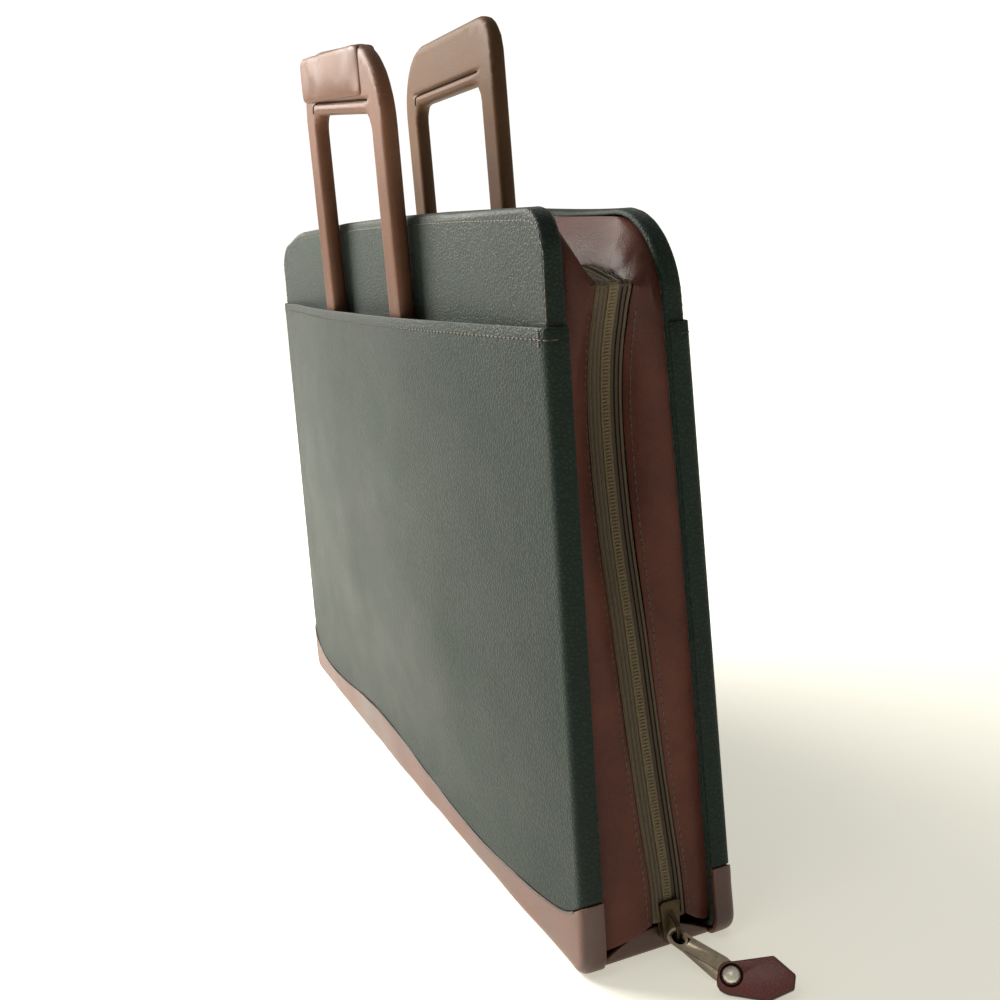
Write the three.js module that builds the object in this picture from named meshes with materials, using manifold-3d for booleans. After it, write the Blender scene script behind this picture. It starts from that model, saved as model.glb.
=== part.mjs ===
// A slim attache case with a zip round three sides and two flat drop-in handles.
// Millimetres, +Z up. X runs along the case's width, with the zip's slider at the +X end.
// The front faces -Y. The origin is on the table, under the middle of the base.
import * as THREE from 'three';
import { mergeVertices } from 'three/addons/utils/BufferGeometryUtils.js';
import Module from 'manifold-3d';

const wasm = await Module();
wasm.setup();

// The two stiff boards that make the case's front and back
const WIDTH_BASE = 428;
const WIDTH_TOP = 417;
const HEIGHT = 300;
const CROWN = 3.4;
const DEPTH_BASE = 66.4;
const DEPTH_TOP = 54.6;
const FRONT_CORNER = 16;
const BACK_CORNER = 33;
const BASE_CORNER = 9;
const BOARD = 3;
const RIM_WALL = 2.2;
const RIM_DEPTH = 8;
const EDGE_ROUND = 1.6;

// Leather, and the clearance that neighbouring pieces keep
const GAP = 0.3;
const SEAM = 0.5;
const POCKET_LEATHER = 1.6;
const TRIM_LEATHER = 2;
const GUSSET_LEATHER = 1.5;
const BASE_LEATHER = 2;
const WRAP_LEATHER = 2.3;
const CORNER_TURN = 2.6;

// Flat handles that drop into the outside pockets
const HANDLE_WIDTH = 136;
const HANDLE_LEG = 19;
const HANDLE_THICK = 8;
const HANDLE_EDGE = 3;
const HANDLE_BAR = 31;
const HANDLE_SHOULDER = 36;
const HANDLE_ARMPIT = 9;
const HANDLE_FOOT = 5;
const HANDLE_TUCK = 40;
const HANDLE_TRAVEL = 95;
const HANDLE_CLEAR = 0.6;
const FRONT_HANDLE = { middle: 1.5, top: 385.4, roll: 1, skew: -0.084 };
const BACK_HANDLE = { middle: -29, top: 395.3, roll: 0, skew: 0 };

// Leather wrap on the front handle's bar
const WRAP_END = 30;
const WRAP_HEM = 7;

// Outside pockets: the mouth stands off the board for the handle and its travel
const MOUTH_HEIGHT = 258;
const MOUTH_FLAT = 4;
const BELLY = 2;

// Brown trim along the foot of each half
const TRIM_HEIGHT = 33;
const FOOT_ROUND = 3;
const WING = RIM_DEPTH - 0.4;
const LIP_END = WING - GAP;

// The base strip's ends turn up under the gussets
const TUCK_INSET = 4.4;
const TUCK_BEND = 3;
const TUCK_HEIGHT = 12;

// The zip: tape, chain, slider and how far it sinks between the boards
const ZIP_SINK = 16.6;
const TOP_SINK = 24;
const ZIP_DRIFT = 4;
const ZIP_LIFT = 10.5;
const TAPE_HALF = 7.2;
const TAPE_THICK = 1;
const TAPE_PLEAT = 0.5;
const CHAIN_HALF = 1.9;
const CHAIN_THICK = 2.2;
const GUSSET_PUFF = 1.5;

const SLIDER_LENGTH = 18.5;
const SLIDER_FOOT = 7;
const SLIDER_HALF = 4.6;
const SLIDER_NOSE = 3.2;
const SLIDER_PLATE = 1.3;
const BRIDGE_REACH = 6.3;
const BRIDGE_BAR = 1.3;
const BRIDGE_HALF = 0.8;

// The zip's pull: a metal frame, a rivet and a leather tab that stands on the table
const PULL_HEADING = 45.3;
const PULL_TILT = 40.5;
const PULL_LENGTH = 25.8;
const PULL_DROOP = 26.5;
const PULL_PLATE = 1.4;
const EYE_HALF = 3.4;
const EYE_HOLE_LONG = 6.2;
const EYE_HOLE_WIDE = 4.4;
const JAW_HALF = 4.9;
const JAW_PAST_RIVET = 3.4;
const TAB_LENGTH = 24;
const TAB_ROOT = 5.4;
const TAB_ROOT_HALF = 6.4;
const TAB_HALF = 8.6;
const TAB_SHOULDER = 15;
const TAB_TIP_HALF = 2.8;
const TAB_THICK = 2;
const TAB_RISE = 1.2;
const RIVET_RADIUS = 3.4;
const RIVET_SHANK = 1.4;
const RIVET_DOME = 1.4;
const TABLE_CLEARANCE = 0.2;

// Zip line up one end: height as a share of HEIGHT, sink as a share of ZIP_SINK, drift
// towards the back as a share of ZIP_DRIFT, lift of the zip above the rim as a share of ZIP_LIFT
const ZIP_LINE = [
  { rise: 0.02, sink: 0.0, drift: 1.0, lift: 1.0 },
  { rise: 0.05, sink: 0.0, drift: 1.0, lift: 0.7 },
  { rise: 0.11, sink: 0.02, drift: 1.0, lift: 0.15 },
  { rise: 0.187, sink: 0.13, drift: 0.7, lift: 0.0 },
  { rise: 0.26, sink: 0.25, drift: 0.5, lift: 0.0 },
  { rise: 0.333, sink: 0.37, drift: 0.34, lift: 0.0 },
  { rise: 0.41, sink: 0.48, drift: 0.2, lift: 0.0 },
  { rise: 0.477, sink: 0.6, drift: 0.1, lift: 0.0 },
  { rise: 0.56, sink: 0.84, drift: 0.0, lift: 0.0 },
  { rise: 0.65, sink: 0.96, drift: 0.0, lift: 0.0 },
  { rise: 0.733, sink: 1.0, drift: 0.0, lift: 0.0 },
  { rise: 0.817, sink: 0.78, drift: 0.0, lift: 0.0 },
  { rise: 0.873, sink: 0.33, drift: 0.0, lift: 0.0 },
  { rise: 0.903, sink: 0.06, drift: 0.0, lift: 0.0 },
];

// Upper edge of the trim: place across the half width, height as a share of TRIM_HEIGHT.
const TRIM_WAVE = [
  { across: -1.0, rise: 1.0 },
  { across: -0.95, rise: 0.62 },
  { across: -0.87, rise: 0.46 },
  { across: -0.76, rise: 0.44 },
  { across: -0.62, rise: 0.47 },
  { across: -0.47, rise: 0.6 },
  { across: -0.34, rise: 0.69 },
  { across: -0.22, rise: 0.7 },
  { across: -0.11, rise: 0.68 },
  { across: 0.0, rise: 0.61 },
  { across: 0.12, rise: 0.54 },
  { across: 0.26, rise: 0.46 },
  { across: 0.38, rise: 0.42 },
  { across: 0.5, rise: 0.39 },
  { across: 0.62, rise: 0.45 },
  { across: 0.75, rise: 0.52 },
  { across: 0.87, rise: 0.62 },
  { across: 0.95, rise: 0.76 },
  { across: 1.0, rise: 1.0 },
];

// How the pocket swells from its foot seam to its mouth, as shares of the height and the swell.
const POCKET_SWELL = [
  { rise: 0.0, swell: 0.0 },
  { rise: 0.08, swell: 0.08 },
  { rise: 0.2, swell: 0.38 },
  { rise: 0.32, swell: 0.66 },
  { rise: 0.42, swell: 0.84 },
  { rise: 0.55, swell: 0.93 },
  { rise: 0.75, swell: 0.98 },
  { rise: 1.0, swell: 1.0 },
];

const GREEN = { color: '#3f4c47', roughness: 0.55, metalness: 0 };
const BROWN = { color: '#6b4a40', roughness: 0.5, metalness: 0 };
const BURGUNDY = { color: '#4b2526', roughness: 0.42, metalness: 0 };
const TAPE = { color: '#4b3f2f', roughness: 0.85, metalness: 0 };
const BRONZE = { color: '#6a5b45', roughness: 0.4, metalness: 0.9 };
const HANDLE_BROWN = { color: '#8a6658', roughness: 0.5, metalness: 0 };

const FRONT = -1;
const BACK = 1;
const radians = THREE.MathUtils.degToRad;
const lerp = THREE.MathUtils.lerp;

// A value between the rows of a table, in a straight line from one row to the next
function readTable(table, key, value, at) {
  const last = table.length - 1;
  if (at <= table[0][key]) return table[0][value];
  if (at >= table[last][key]) return table[last][value];
  const next = table.findIndex((row) => row[key] >= at);
  const share = (at - table[next - 1][key]) / (table[next][key] - table[next - 1][key]);
  return lerp(table[next - 1][value], table[next][value], share);
}

// The case's tapered box
function halfWidth(z) {
  return lerp(WIDTH_BASE, WIDTH_TOP, z / HEIGHT) / 2;
}

function halfDepth(z) {
  return lerp(DEPTH_BASE, DEPTH_TOP, z / HEIGHT) / 2;
}

function topEdge(x) {
  return HEIGHT + CROWN * (1 - (2 * x / WIDTH_TOP) ** 2);
}

function topCorner(side) {
  return side === FRONT ? FRONT_CORNER : BACK_CORNER;
}

// A point on one half: out is measured from the board's outer face
function onHalf(side, x, out, z) {
  return new THREE.Vector3(x, side * (halfDepth(z) + out), z);
}

// Half width with the foot's rounded corner, at an inset from the board's edge
const BOARD_FOOT = TRIM_LEATHER + GAP + 0.1;

function edgeAt(z, inset, foot) {
  const centre = foot + BASE_CORNER;
  if (z >= centre) return halfWidth(z) - inset;
  const radius = BASE_CORNER - inset;
  return halfWidth(z) - BASE_CORNER + Math.sqrt(Math.max(radius ** 2 - (centre - z) ** 2, 0));
}

// Turns a mesh the right way out
function outward(geometry) {
  const place = geometry.getAttribute('position');
  const index = geometry.getIndex().array;
  const [a, b, c] = [new THREE.Vector3(), new THREE.Vector3(), new THREE.Vector3()];
  let volume = 0;
  for (let i = 0; i < index.length; i += 3) {
    a.fromBufferAttribute(place, index[i]);
    b.fromBufferAttribute(place, index[i + 1]);
    c.fromBufferAttribute(place, index[i + 2]);
    volume += a.dot(b.cross(c));
  }
  if (volume < 0) {
    for (let i = 0; i < index.length; i += 3) {
      [index[i + 1], index[i + 2]] = [index[i + 2], index[i + 1]];
    }
  }
  return geometry;
}

function weld(geometry) {
  geometry.deleteAttribute('normal');
  geometry.deleteAttribute('uv');
  return outward(mergeVertices(geometry, 1e-4));
}

// A closed wall over a grid of points on its middle surface
function sheet(grid, thickness) {
  const rows = grid.length;
  const columns = grid[0].length;
  const positions = [];
  const index = [];
  for (const face of [-1, 1]) {
    grid.forEach((row, i) => row.forEach((point, j) => {
      const across = row[Math.min(j + 1, columns - 1)].clone().sub(row[Math.max(j - 1, 0)]);
      const along = grid[Math.min(i + 1, rows - 1)][j].clone().sub(grid[Math.max(i - 1, 0)][j]);
      const normal = across.cross(along).normalize();
      positions.push(...point.clone().addScaledVector(normal, face * thickness / 2).toArray());
    }));
  }
  const at = (face, i, j) => face * rows * columns + i * columns + j;
  const quad = (a, b, c, d) => index.push(a, b, c, a, c, d);
  for (let i = 0; i < rows - 1; i += 1) {
    for (let j = 0; j < columns - 1; j += 1) {
      quad(at(1, i, j), at(1, i, j + 1), at(1, i + 1, j + 1), at(1, i + 1, j));
      quad(at(0, i, j), at(0, i + 1, j), at(0, i + 1, j + 1), at(0, i, j + 1));
    }
  }
  for (let i = 0; i < rows - 1; i += 1) {
    quad(at(0, i, 0), at(1, i, 0), at(1, i + 1, 0), at(0, i + 1, 0));
    const last = columns - 1;
    quad(at(0, i, last), at(0, i + 1, last), at(1, i + 1, last), at(1, i, last));
  }
  for (let j = 0; j < columns - 1; j += 1) {
    quad(at(0, 0, j), at(0, 0, j + 1), at(1, 0, j + 1), at(1, 0, j));
    quad(at(0, rows - 1, j), at(1, rows - 1, j), at(1, rows - 1, j + 1), at(0, rows - 1, j + 1));
  }
  const geometry = new THREE.BufferGeometry();
  geometry.setAttribute('position', new THREE.Float32BufferAttribute(positions, 3));
  geometry.setIndex(index);
  return outward(geometry);
}

// An outline with rounded corners, each { x, y, r }, turning anticlockwise or clockwise
function roundedOutline(corners, steps) {
  const points = [];
  corners.forEach((corner, i) => {
    const here = new THREE.Vector2(corner.x, corner.y);
    const before = corners[(i + corners.length - 1) % corners.length];
    const after = corners[(i + 1) % corners.length];
    const back = new THREE.Vector2(before.x, before.y).sub(here).normalize();
    const on = new THREE.Vector2(after.x, after.y).sub(here).normalize();
    if (!corner.r) {
      points.push(here);
      return;
    }
    const half = Math.acos(THREE.MathUtils.clamp(back.dot(on), -1, 1)) / 2;
    const inward = back.clone().add(on).normalize();
    const centre = here.clone().addScaledVector(inward, corner.r / Math.sin(half));
    const start = here.clone().addScaledVector(back, corner.r / Math.tan(half)).sub(centre);
    const end = here.clone().addScaledVector(on, corner.r / Math.tan(half)).sub(centre);
    const sweep = Math.atan2(start.cross(end), start.dot(end));
    for (let k = 0; k <= steps; k += 1) {
      points.push(start.clone().rotateAround(new THREE.Vector2(), sweep * k / steps).add(centre));
    }
  });
  return points;
}

// A plate of the outline, from z = 0 up to its thickness, with its edges rounded off
function plate(points, thickness, round = 0, roundSteps = 2) {
  const geometry = new THREE.ExtrudeGeometry(new THREE.Shape(points), {
    depth: thickness - 2 * round,
    bevelEnabled: round > 0,
    bevelThickness: round,
    bevelSize: round,
    bevelOffset: -round,
    bevelSegments: roundSteps,
  });
  geometry.translate(0, 0, round);
  return weld(geometry);
}

// Moves every vertex of a geometry through a rule
function mapVertices(geometry, rule) {
  const place = geometry.getAttribute('position');
  const point = new THREE.Vector3();
  for (let i = 0; i < place.count; i += 1) {
    point.fromBufferAttribute(place, i);
    const moved = rule(point);
    place.setXYZ(i, moved.x, moved.y, moved.z);
  }
  return outward(geometry);
}

function toSolid(geometry) {
  return new wasm.Manifold(new wasm.Mesh({
    numProp: 3,
    vertProperties: new Float32Array(geometry.getAttribute('position').array),
    triVerts: new Uint32Array(geometry.getIndex().array),
  }));
}

function fromSolid(solid) {
  const mesh = solid.getMesh();
  const geometry = new THREE.BufferGeometry();
  geometry.setAttribute('position', new THREE.BufferAttribute(new Float32Array(mesh.vertProperties), 3));
  geometry.setIndex(new THREE.BufferAttribute(new Uint32Array(mesh.triVerts), 1));
  return geometry;
}

function makeMesh(name, geometry, look) {
  const mesh = new THREE.Mesh(geometry, new THREE.MeshStandardMaterial(look));
  mesh.name = name;
  return mesh;
}

// Boards: a leather-covered board with its rim turned in all round
function boardOutline(side, inset) {
  const corner = topCorner(side);
  const foot = BOARD_FOOT + inset;
  const corners = [
    { x: halfWidth(foot) - inset, y: foot, r: BASE_CORNER - inset },
    { x: halfWidth(HEIGHT) - inset, y: HEIGHT - inset, r: corner - inset },
  ];
  const crownSteps = 8;
  const flat = halfWidth(HEIGHT) - corner;
  for (let k = 1; k < crownSteps; k += 1) {
    corners.push({ x: flat * (1 - 2 * k / crownSteps), y: HEIGHT - inset });
  }
  corners.push({ x: -halfWidth(HEIGHT) + inset, y: HEIGHT - inset, r: corner - inset });
  corners.push({ x: -halfWidth(foot) + inset, y: foot, r: BASE_CORNER - inset });
  return roundedOutline(corners, 6).map((point) => {
    const crown = point.y > HEIGHT / 2 ? topEdge(point.x) - HEIGHT : 0;
    return new THREE.Vector2(point.x, point.y + crown);
  });
}

function makeBoard(side) {
  const block = plate(boardOutline(side, 0), RIM_DEPTH, EDGE_ROUND);
  const hollow = plate(boardOutline(side, RIM_WALL), RIM_DEPTH);
  hollow.translate(0, 0, BOARD);
  const tray = fromSolid(toSolid(block).subtract(toSolid(hollow)));
  return mapVertices(tray, (point) => onHalf(side, point.x, -point.z, point.y));
}

// Leather that goes round a half: the wing on one end's rim, the face, and the other wing
const FACE_STEPS = 20;
const TURN_STEPS = 2;

function roundTheHalf(side, z, out, end, swell) {
  const row = [];
  const bend = Math.min(CORNER_TURN, out + WING);
  const centre = end - bend;
  const turn = (hand, angle) => onHalf(
    side,
    hand * (centre + bend * Math.cos(angle)),
    out - bend + bend * Math.sin(angle),
    z,
  );
  row.push(onHalf(side, -end, -WING, z));
  for (let k = 0; k < TURN_STEPS; k += 1) row.push(turn(-1, (Math.PI / 2) * (k / TURN_STEPS)));
  for (let k = 0; k <= FACE_STEPS; k += 1) {
    const share = Math.sin((Math.PI / 2) * (2 * k / FACE_STEPS - 1));
    const x = share * centre;
    row.push(onHalf(side, x, out + swell(x), z));
  }
  for (let k = TURN_STEPS - 1; k >= 0; k -= 1) row.push(turn(1, (Math.PI / 2) * (k / TURN_STEPS)));
  row.push(onHalf(side, end, -WING, z));
  return row;
}

function trimTop(x) {
  return TRIM_HEIGHT * readTable(TRIM_WAVE, 'across', 'rise', x / halfWidth(0));
}

function belly(x, z) {
  const across = Math.max(1 - (x / halfWidth(z)) ** 2, 0);
  return BELLY * across * Math.max(1 - z / MOUTH_HEIGHT, 0);
}

const HANDLE_REACH = HANDLE_WIDTH / 2 + MOUTH_FLAT;
const TAPER = (DEPTH_BASE - DEPTH_TOP) / 2 / HEIGHT;
const MOUTH_SPACE = HANDLE_CLEAR + HANDLE_THICK + (HANDLE_TRAVEL + HANDLE_TUCK) * TAPER + 2 * GAP;

// How far the pocket's mouth stands off: flat over the handle, straight to the case's ends
function mouthSwell(middle, x) {
  const end = halfWidth(MOUTH_HEIGHT);
  const left = (x + end) / (middle - HANDLE_REACH + end);
  const right = (end - x) / (end - middle - HANDLE_REACH);
  return (MOUTH_SPACE - GAP) * THREE.MathUtils.clamp(Math.min(left, right), 0, 1);
}

function makePocket(side, handle) {
  const out = GAP + POCKET_LEATHER / 2;
  const middle = handle.middle;
  const grid = [0, 0.04, 0.1, 0.2, 0.28, 0.36, 0.46, 0.58, 0.72, 0.86, 1].map((rise) => {
    const share = readTable(POCKET_SWELL, 'rise', 'swell', rise);
    return roundTheHalf(side, 0, out, halfWidth(0), () => 0).map((guide, j) => {
      const foot = trimTop(guide.x) + SEAM / 2;
      const z = lerp(foot, MOUTH_HEIGHT, rise);
      const swell = (x) => mouthSwell(middle, x) * share + belly(x, z);
      return roundTheHalf(side, z, out, halfWidth(z) + out, swell)[j];
    });
  });
  return sheet(grid, POCKET_LEATHER);
}

function makeTrim(side) {
  const out = GAP + TRIM_LEATHER / 2;
  const foot = FOOT_ROUND + TRIM_LEATHER / 2;
  const rows = [];
  for (const share of [1, 0.66, 0.36, 0.2, 0.1, 0]) rows.push({ share, angle: 0, inset: 0 });
  for (const angle of [30, 60, 90]) rows.push({ share: 0, angle, inset: 0 });
  rows.push({ share: 0, angle: 90, inset: LIP_END + out - FOOT_ROUND });
  const guide = roundTheHalf(side, foot, out, halfWidth(0), () => 0);
  const grid = rows.map(({ share, angle, inset }) => guide.map((point, j) => {
    const top = trimTop(point.x) - SEAM / 2;
    const z = lerp(foot, top, share) - FOOT_ROUND * Math.sin(radians(angle));
    const back = FOOT_ROUND * (1 - Math.cos(radians(angle))) + inset;
    const end = edgeAt(z, 0, TRIM_LEATHER / 2) + out;
    return roundTheHalf(side, z, out - back, end, (x) => belly(x, z))[j];
  }));
  return sheet(grid, TRIM_LEATHER);
}

// Base strip between the two trims, with its ends turned up inside the gussets
function makeBase() {
  const end = halfWidth(0) - TUCK_INSET;
  const turn = TUCK_BEND;
  const rise = TUCK_HEIGHT;
  const level = BASE_LEATHER / 2;
  const line = [{ x: end, z: rise, spread: 0.35 }];
  for (const angle of [0, 30, 60, 90]) {
    const bend = radians(angle);
    line.push({
      x: end - turn * (1 - Math.cos(bend)),
      z: level + turn * (1 - Math.sin(bend)),
      spread: 1 - 0.1 * Math.cos(bend),
    });
  }
  const tucked = line.length;
  const steps = 8;
  for (let k = 1; k < steps; k += 1) {
    line.push({ x: (end - turn) * (1 - 2 * k / steps), z: level, spread: 1 });
  }
  const mirrored = line.slice(0, tucked).reverse().map(({ x, z, spread }) => ({ x: -x, z, spread }));
  const grid = [...line, ...mirrored].map(({ x, z, spread }) => {
    const half = spread * (halfDepth(0) + belly(x, 0) - WING - GAP);
    return [-1, 0, 1].map((share) => new THREE.Vector3(x, share * half, z));
  });
  return sheet(grid, BASE_LEATHER);
}

// Stations along the zip, from the foot of the +X end, over the top, to the foot of the -X end.
// Each has its level or its turn round the top corner, the zip's place and the outward direction.
// The gusset fans out from the zip's corner up to the fold, and from there runs along the top.
const CORNER_STEPS = 6;
const CORNER_FOLD = 0.55;
const CORNER_FAN = 0.1;
const TOP_STEPS = 3;

function alongCorner(turn) {
  if (turn < CORNER_FOLD) return CORNER_FAN * turn / CORNER_FOLD;
  return lerp(CORNER_FAN, 1, (turn - CORNER_FOLD) / (1 - CORNER_FOLD));
}

function mirrorStation(station) {
  const zip = { ...station.zip, x: -station.zip.x };
  const out = { ...station.out, x: -station.out.x };
  return { ...station, hand: -1, zip, out };
}

function zipStations() {
  const half = ZIP_LINE.map(({ rise, sink, drift, lift }) => {
    const z = rise * HEIGHT;
    const zip = { x: halfWidth(z) - sink * ZIP_SINK, y: drift * ZIP_DRIFT, z: z + lift * ZIP_LIFT };
    return { hand: 1, level: z, turn: 0, across: 1, zip, out: { x: 1, z: 0 } };
  });
  const start = half[half.length - 1].zip;
  const shoulder = halfWidth(HEIGHT) - (FRONT_CORNER + BACK_CORNER) / 2;
  for (let k = 1; k <= CORNER_STEPS; k += 1) {
    const turn = k / CORNER_STEPS;
    const out = { x: Math.cos(turn * Math.PI / 2), z: Math.sin(turn * Math.PI / 2) };
    const zip = {
      x: lerp(start.x, shoulder, alongCorner(turn)),
      y: 0,
      z: lerp(start.z, topEdge(shoulder) - TOP_SINK, alongCorner(turn)),
    };
    half.push({ hand: 1, level: HEIGHT, turn, across: 1, zip, out });
  }
  for (let k = 1; k < TOP_STEPS; k += 1) {
    const across = 1 - k / TOP_STEPS;
    const x = shoulder * across;
    const zip = { x, y: 0, z: topEdge(x) - TOP_SINK };
    half.push({ hand: 1, level: HEIGHT, turn: 1, across, zip, out: { x: 0, z: 1 } });
  }
  const middle = { ...half[half.length - 1], across: 0, zip: { x: 0, y: 0, z: topEdge(0) - TOP_SINK } };
  return [...half, middle, ...half.slice().reverse().map(mirrorStation)];
}

const STATIONS = zipStations();

// Where a station meets the inside of one board's rim
function rimPlace(side, { hand, level, turn, across }) {
  const inset = RIM_WALL + GAP + GUSSET_LEATHER / 2;
  const corner = topCorner(side);
  const shoulder = halfWidth(HEIGHT) - corner;
  if (level <= HEIGHT - corner) return { x: hand * edgeAt(level, inset, BOARD_FOOT), z: level };
  const radius = corner - inset;
  const x = across * (shoulder + radius * Math.cos(turn * Math.PI / 2));
  const z = HEIGHT - corner + radius * Math.sin(turn * Math.PI / 2);
  return { x: hand * x, z: z + (topEdge(x) - HEIGHT) * turn };
}

// Gusset of one half: glued inside the rim, then folded in to the zip's tape
function makeGusset(side) {
  const grid = STATIONS.map((station) => {
    const { zip, out } = station;
    const rim = rimPlace(side, station);
    const depth = halfDepth(rim.z);
    const glued = new THREE.Vector3(rim.x, side * (depth - BOARD - GAP), rim.z);
    const lip = new THREE.Vector3(rim.x, side * (depth - RIM_DEPTH), rim.z);
    const seam = new THREE.Vector3(zip.x, zip.y + side * (TAPE_HALF + GAP), zip.z);
    const sunk = (lip.x - seam.x) * out.x + (lip.z - seam.z) * out.z;
    const slope = Math.min(Math.abs(sunk) / lip.distanceTo(seam) + 0.4, 1.2);
    seam.y += side * slope * GUSSET_LEATHER / 2;
    const row = [glued];
    for (const share of [0, 0.25, 0.5, 0.75, 1]) {
      const puff = GUSSET_PUFF * Math.sin(Math.PI * share);
      row.push(lip.clone().lerp(seam, share).add(new THREE.Vector3(out.x * puff, 0, out.z * puff)));
    }
    return row;
  });
  return sheet(grid, GUSSET_LEATHER);
}

function makeTape(side) {
  const inner = CHAIN_HALF + GAP;
  const strip = [
    { reach: TAPE_HALF, pleat: 0 },
    { reach: (TAPE_HALF + inner) / 2, pleat: TAPE_PLEAT },
    { reach: inner, pleat: 0 },
  ];
  const grid = STATIONS.map(({ zip, out }) => strip.map(({ reach, pleat }) => (
    new THREE.Vector3(zip.x + out.x * pleat, zip.y + side * reach, zip.z + out.z * pleat)
  )));
  return sheet(grid, TAPE_THICK);
}

// The chain of closed teeth, which ends inside the slider
function makeChain() {
  const start = SLIDER_FOOT + SLIDER_LENGTH / 2;
  const grid = STATIONS.map(({ zip }, i) => {
    const z = i === 0 ? start : zip.z;
    const x = i === 0 ? halfWidth(start) : zip.x;
    return [-1, 0, 1].map((share) => new THREE.Vector3(x, zip.y + share * CHAIN_HALF, z));
  });
  return sheet(grid, CHAIN_THICK);
}

// Slider: two plates joined by a wedge at its foot, with a bridge that holds the pull's eye
function makeSlider() {
  const plateOutline = roundedOutline([
    { x: SLIDER_NOSE, y: 0, r: 1.5 },
    { x: SLIDER_HALF, y: SLIDER_LENGTH, r: 1.5 },
    { x: -SLIDER_HALF, y: SLIDER_LENGTH, r: 1.5 },
    { x: -SLIDER_NOSE, y: 0, r: 1.5 },
  ], 3);
  const spread = CHAIN_THICK / 2 + GAP;
  const tip = bridgeReach();
  const outer = plate(plateOutline, SLIDER_PLATE);
  outer.translate(0, 0, spread);
  const inner = plate(plateOutline, SLIDER_PLATE);
  inner.translate(0, 0, -spread - SLIDER_PLATE);
  const wedgeTop = SLIDER_LENGTH / 2 - GAP;
  const wedge = plate(roundedOutline([
    { x: 1, y: 0.6 },
    { x: CHAIN_HALF, y: wedgeTop - 2 },
    { x: 0.6, y: wedgeTop },
    { x: -0.6, y: wedgeTop },
    { x: -CHAIN_HALF, y: wedgeTop - 2 },
    { x: -1, y: 0.6 },
  ], 1), 2 * spread + SLIDER_PLATE);
  wedge.translate(0, 0, -spread - SLIDER_PLATE / 2);
  const rest = spread + SLIDER_PLATE / 2;
  const bar = BRIDGE_BAR;
  const bridge = plate(roundedOutline([
    { x: rest, y: 0.2 },
    { x: tip - 0.4, y: 0.2, r: 1.4 },
    { x: tip, y: SLIDER_LENGTH - 8, r: 2 },
    { x: rest, y: SLIDER_LENGTH - 3.5 },
    { x: rest, y: SLIDER_LENGTH - 3.5 - bar * 1.3 },
    { x: tip - bar, y: SLIDER_LENGTH - 8.8, r: 0.8 },
    { x: tip - bar - 0.4, y: 0.2 + bar, r: 0.6 },
    { x: rest, y: 0.2 + bar },
  ], 3), 2 * BRIDGE_HALF);
  // The bridge's outline is drawn reach first, so it is stood up across the plates
  bridge.translate(0, 0, -BRIDGE_HALF);
  mapVertices(bridge, (point) => new THREE.Vector3(point.z, point.y, point.x));
  const solid = toSolid(outer).add(toSolid(wedge)).add(toSolid(inner)).add(toSolid(bridge));
  return fromSolid(solid);
}

// Pull, drawn flat with the rivet at the origin and the tab along +X
function eyeCentre() {
  const droop = radians(PULL_DROOP);
  const behind = -TAB_THICK / 2 - GAP - PULL_PLATE / 2;
  return new THREE.Vector3(-PULL_LENGTH * Math.cos(droop), PULL_LENGTH * Math.sin(droop), behind);
}

// Where the slider's bridge holds the eye
function bridgeReach() {
  return CHAIN_THICK / 2 + GAP + SLIDER_PLATE + BRIDGE_REACH;
}

function makePullFrame() {
  const rim = (EYE_HOLE_LONG / 2) + 1.6;
  const blank = plate(roundedOutline([
    { x: -rim, y: -EYE_HALF, r: 3 },
    { x: EYE_HOLE_LONG / 2 + 1, y: -EYE_HALF, r: 0 },
    { x: PULL_LENGTH - 6, y: -JAW_HALF, r: 2 },
    { x: PULL_LENGTH + JAW_PAST_RIVET, y: -JAW_HALF + 1, r: 2 },
    { x: PULL_LENGTH + JAW_PAST_RIVET, y: JAW_HALF - 1, r: 2 },
    { x: PULL_LENGTH - 6, y: JAW_HALF, r: 2 },
    { x: EYE_HOLE_LONG / 2 + 1, y: EYE_HALF, r: 0 },
    { x: -rim, y: EYE_HALF, r: 3 },
  ], 4), PULL_PLATE);
  const ring = [];
  const sides = 14;
  for (let k = 0; k < sides; k += 1) {
    const angle = 2 * Math.PI * (k / sides);
    ring.push(new THREE.Vector2(Math.cos(angle) * EYE_HOLE_LONG / 2, Math.sin(angle) * EYE_HOLE_WIDE / 2));
  }
  const hole = plate(ring, 3 * PULL_PLATE);
  hole.translate(0, 0, -PULL_PLATE);
  const bore = new THREE.CylinderGeometry(RIVET_SHANK + GAP, RIVET_SHANK + GAP, 3 * PULL_PLATE, 14);
  bore.rotateX(Math.PI / 2);
  bore.translate(PULL_LENGTH, 0, 0);
  const solid = toSolid(blank).subtract(toSolid(hole)).subtract(toSolid(weld(bore)));
  const frame = fromSolid(solid);
  frame.translate(-PULL_LENGTH, 0, -TAB_THICK / 2 - GAP - PULL_PLATE);
  frame.rotateZ(-radians(PULL_DROOP));
  return frame;
}

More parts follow.
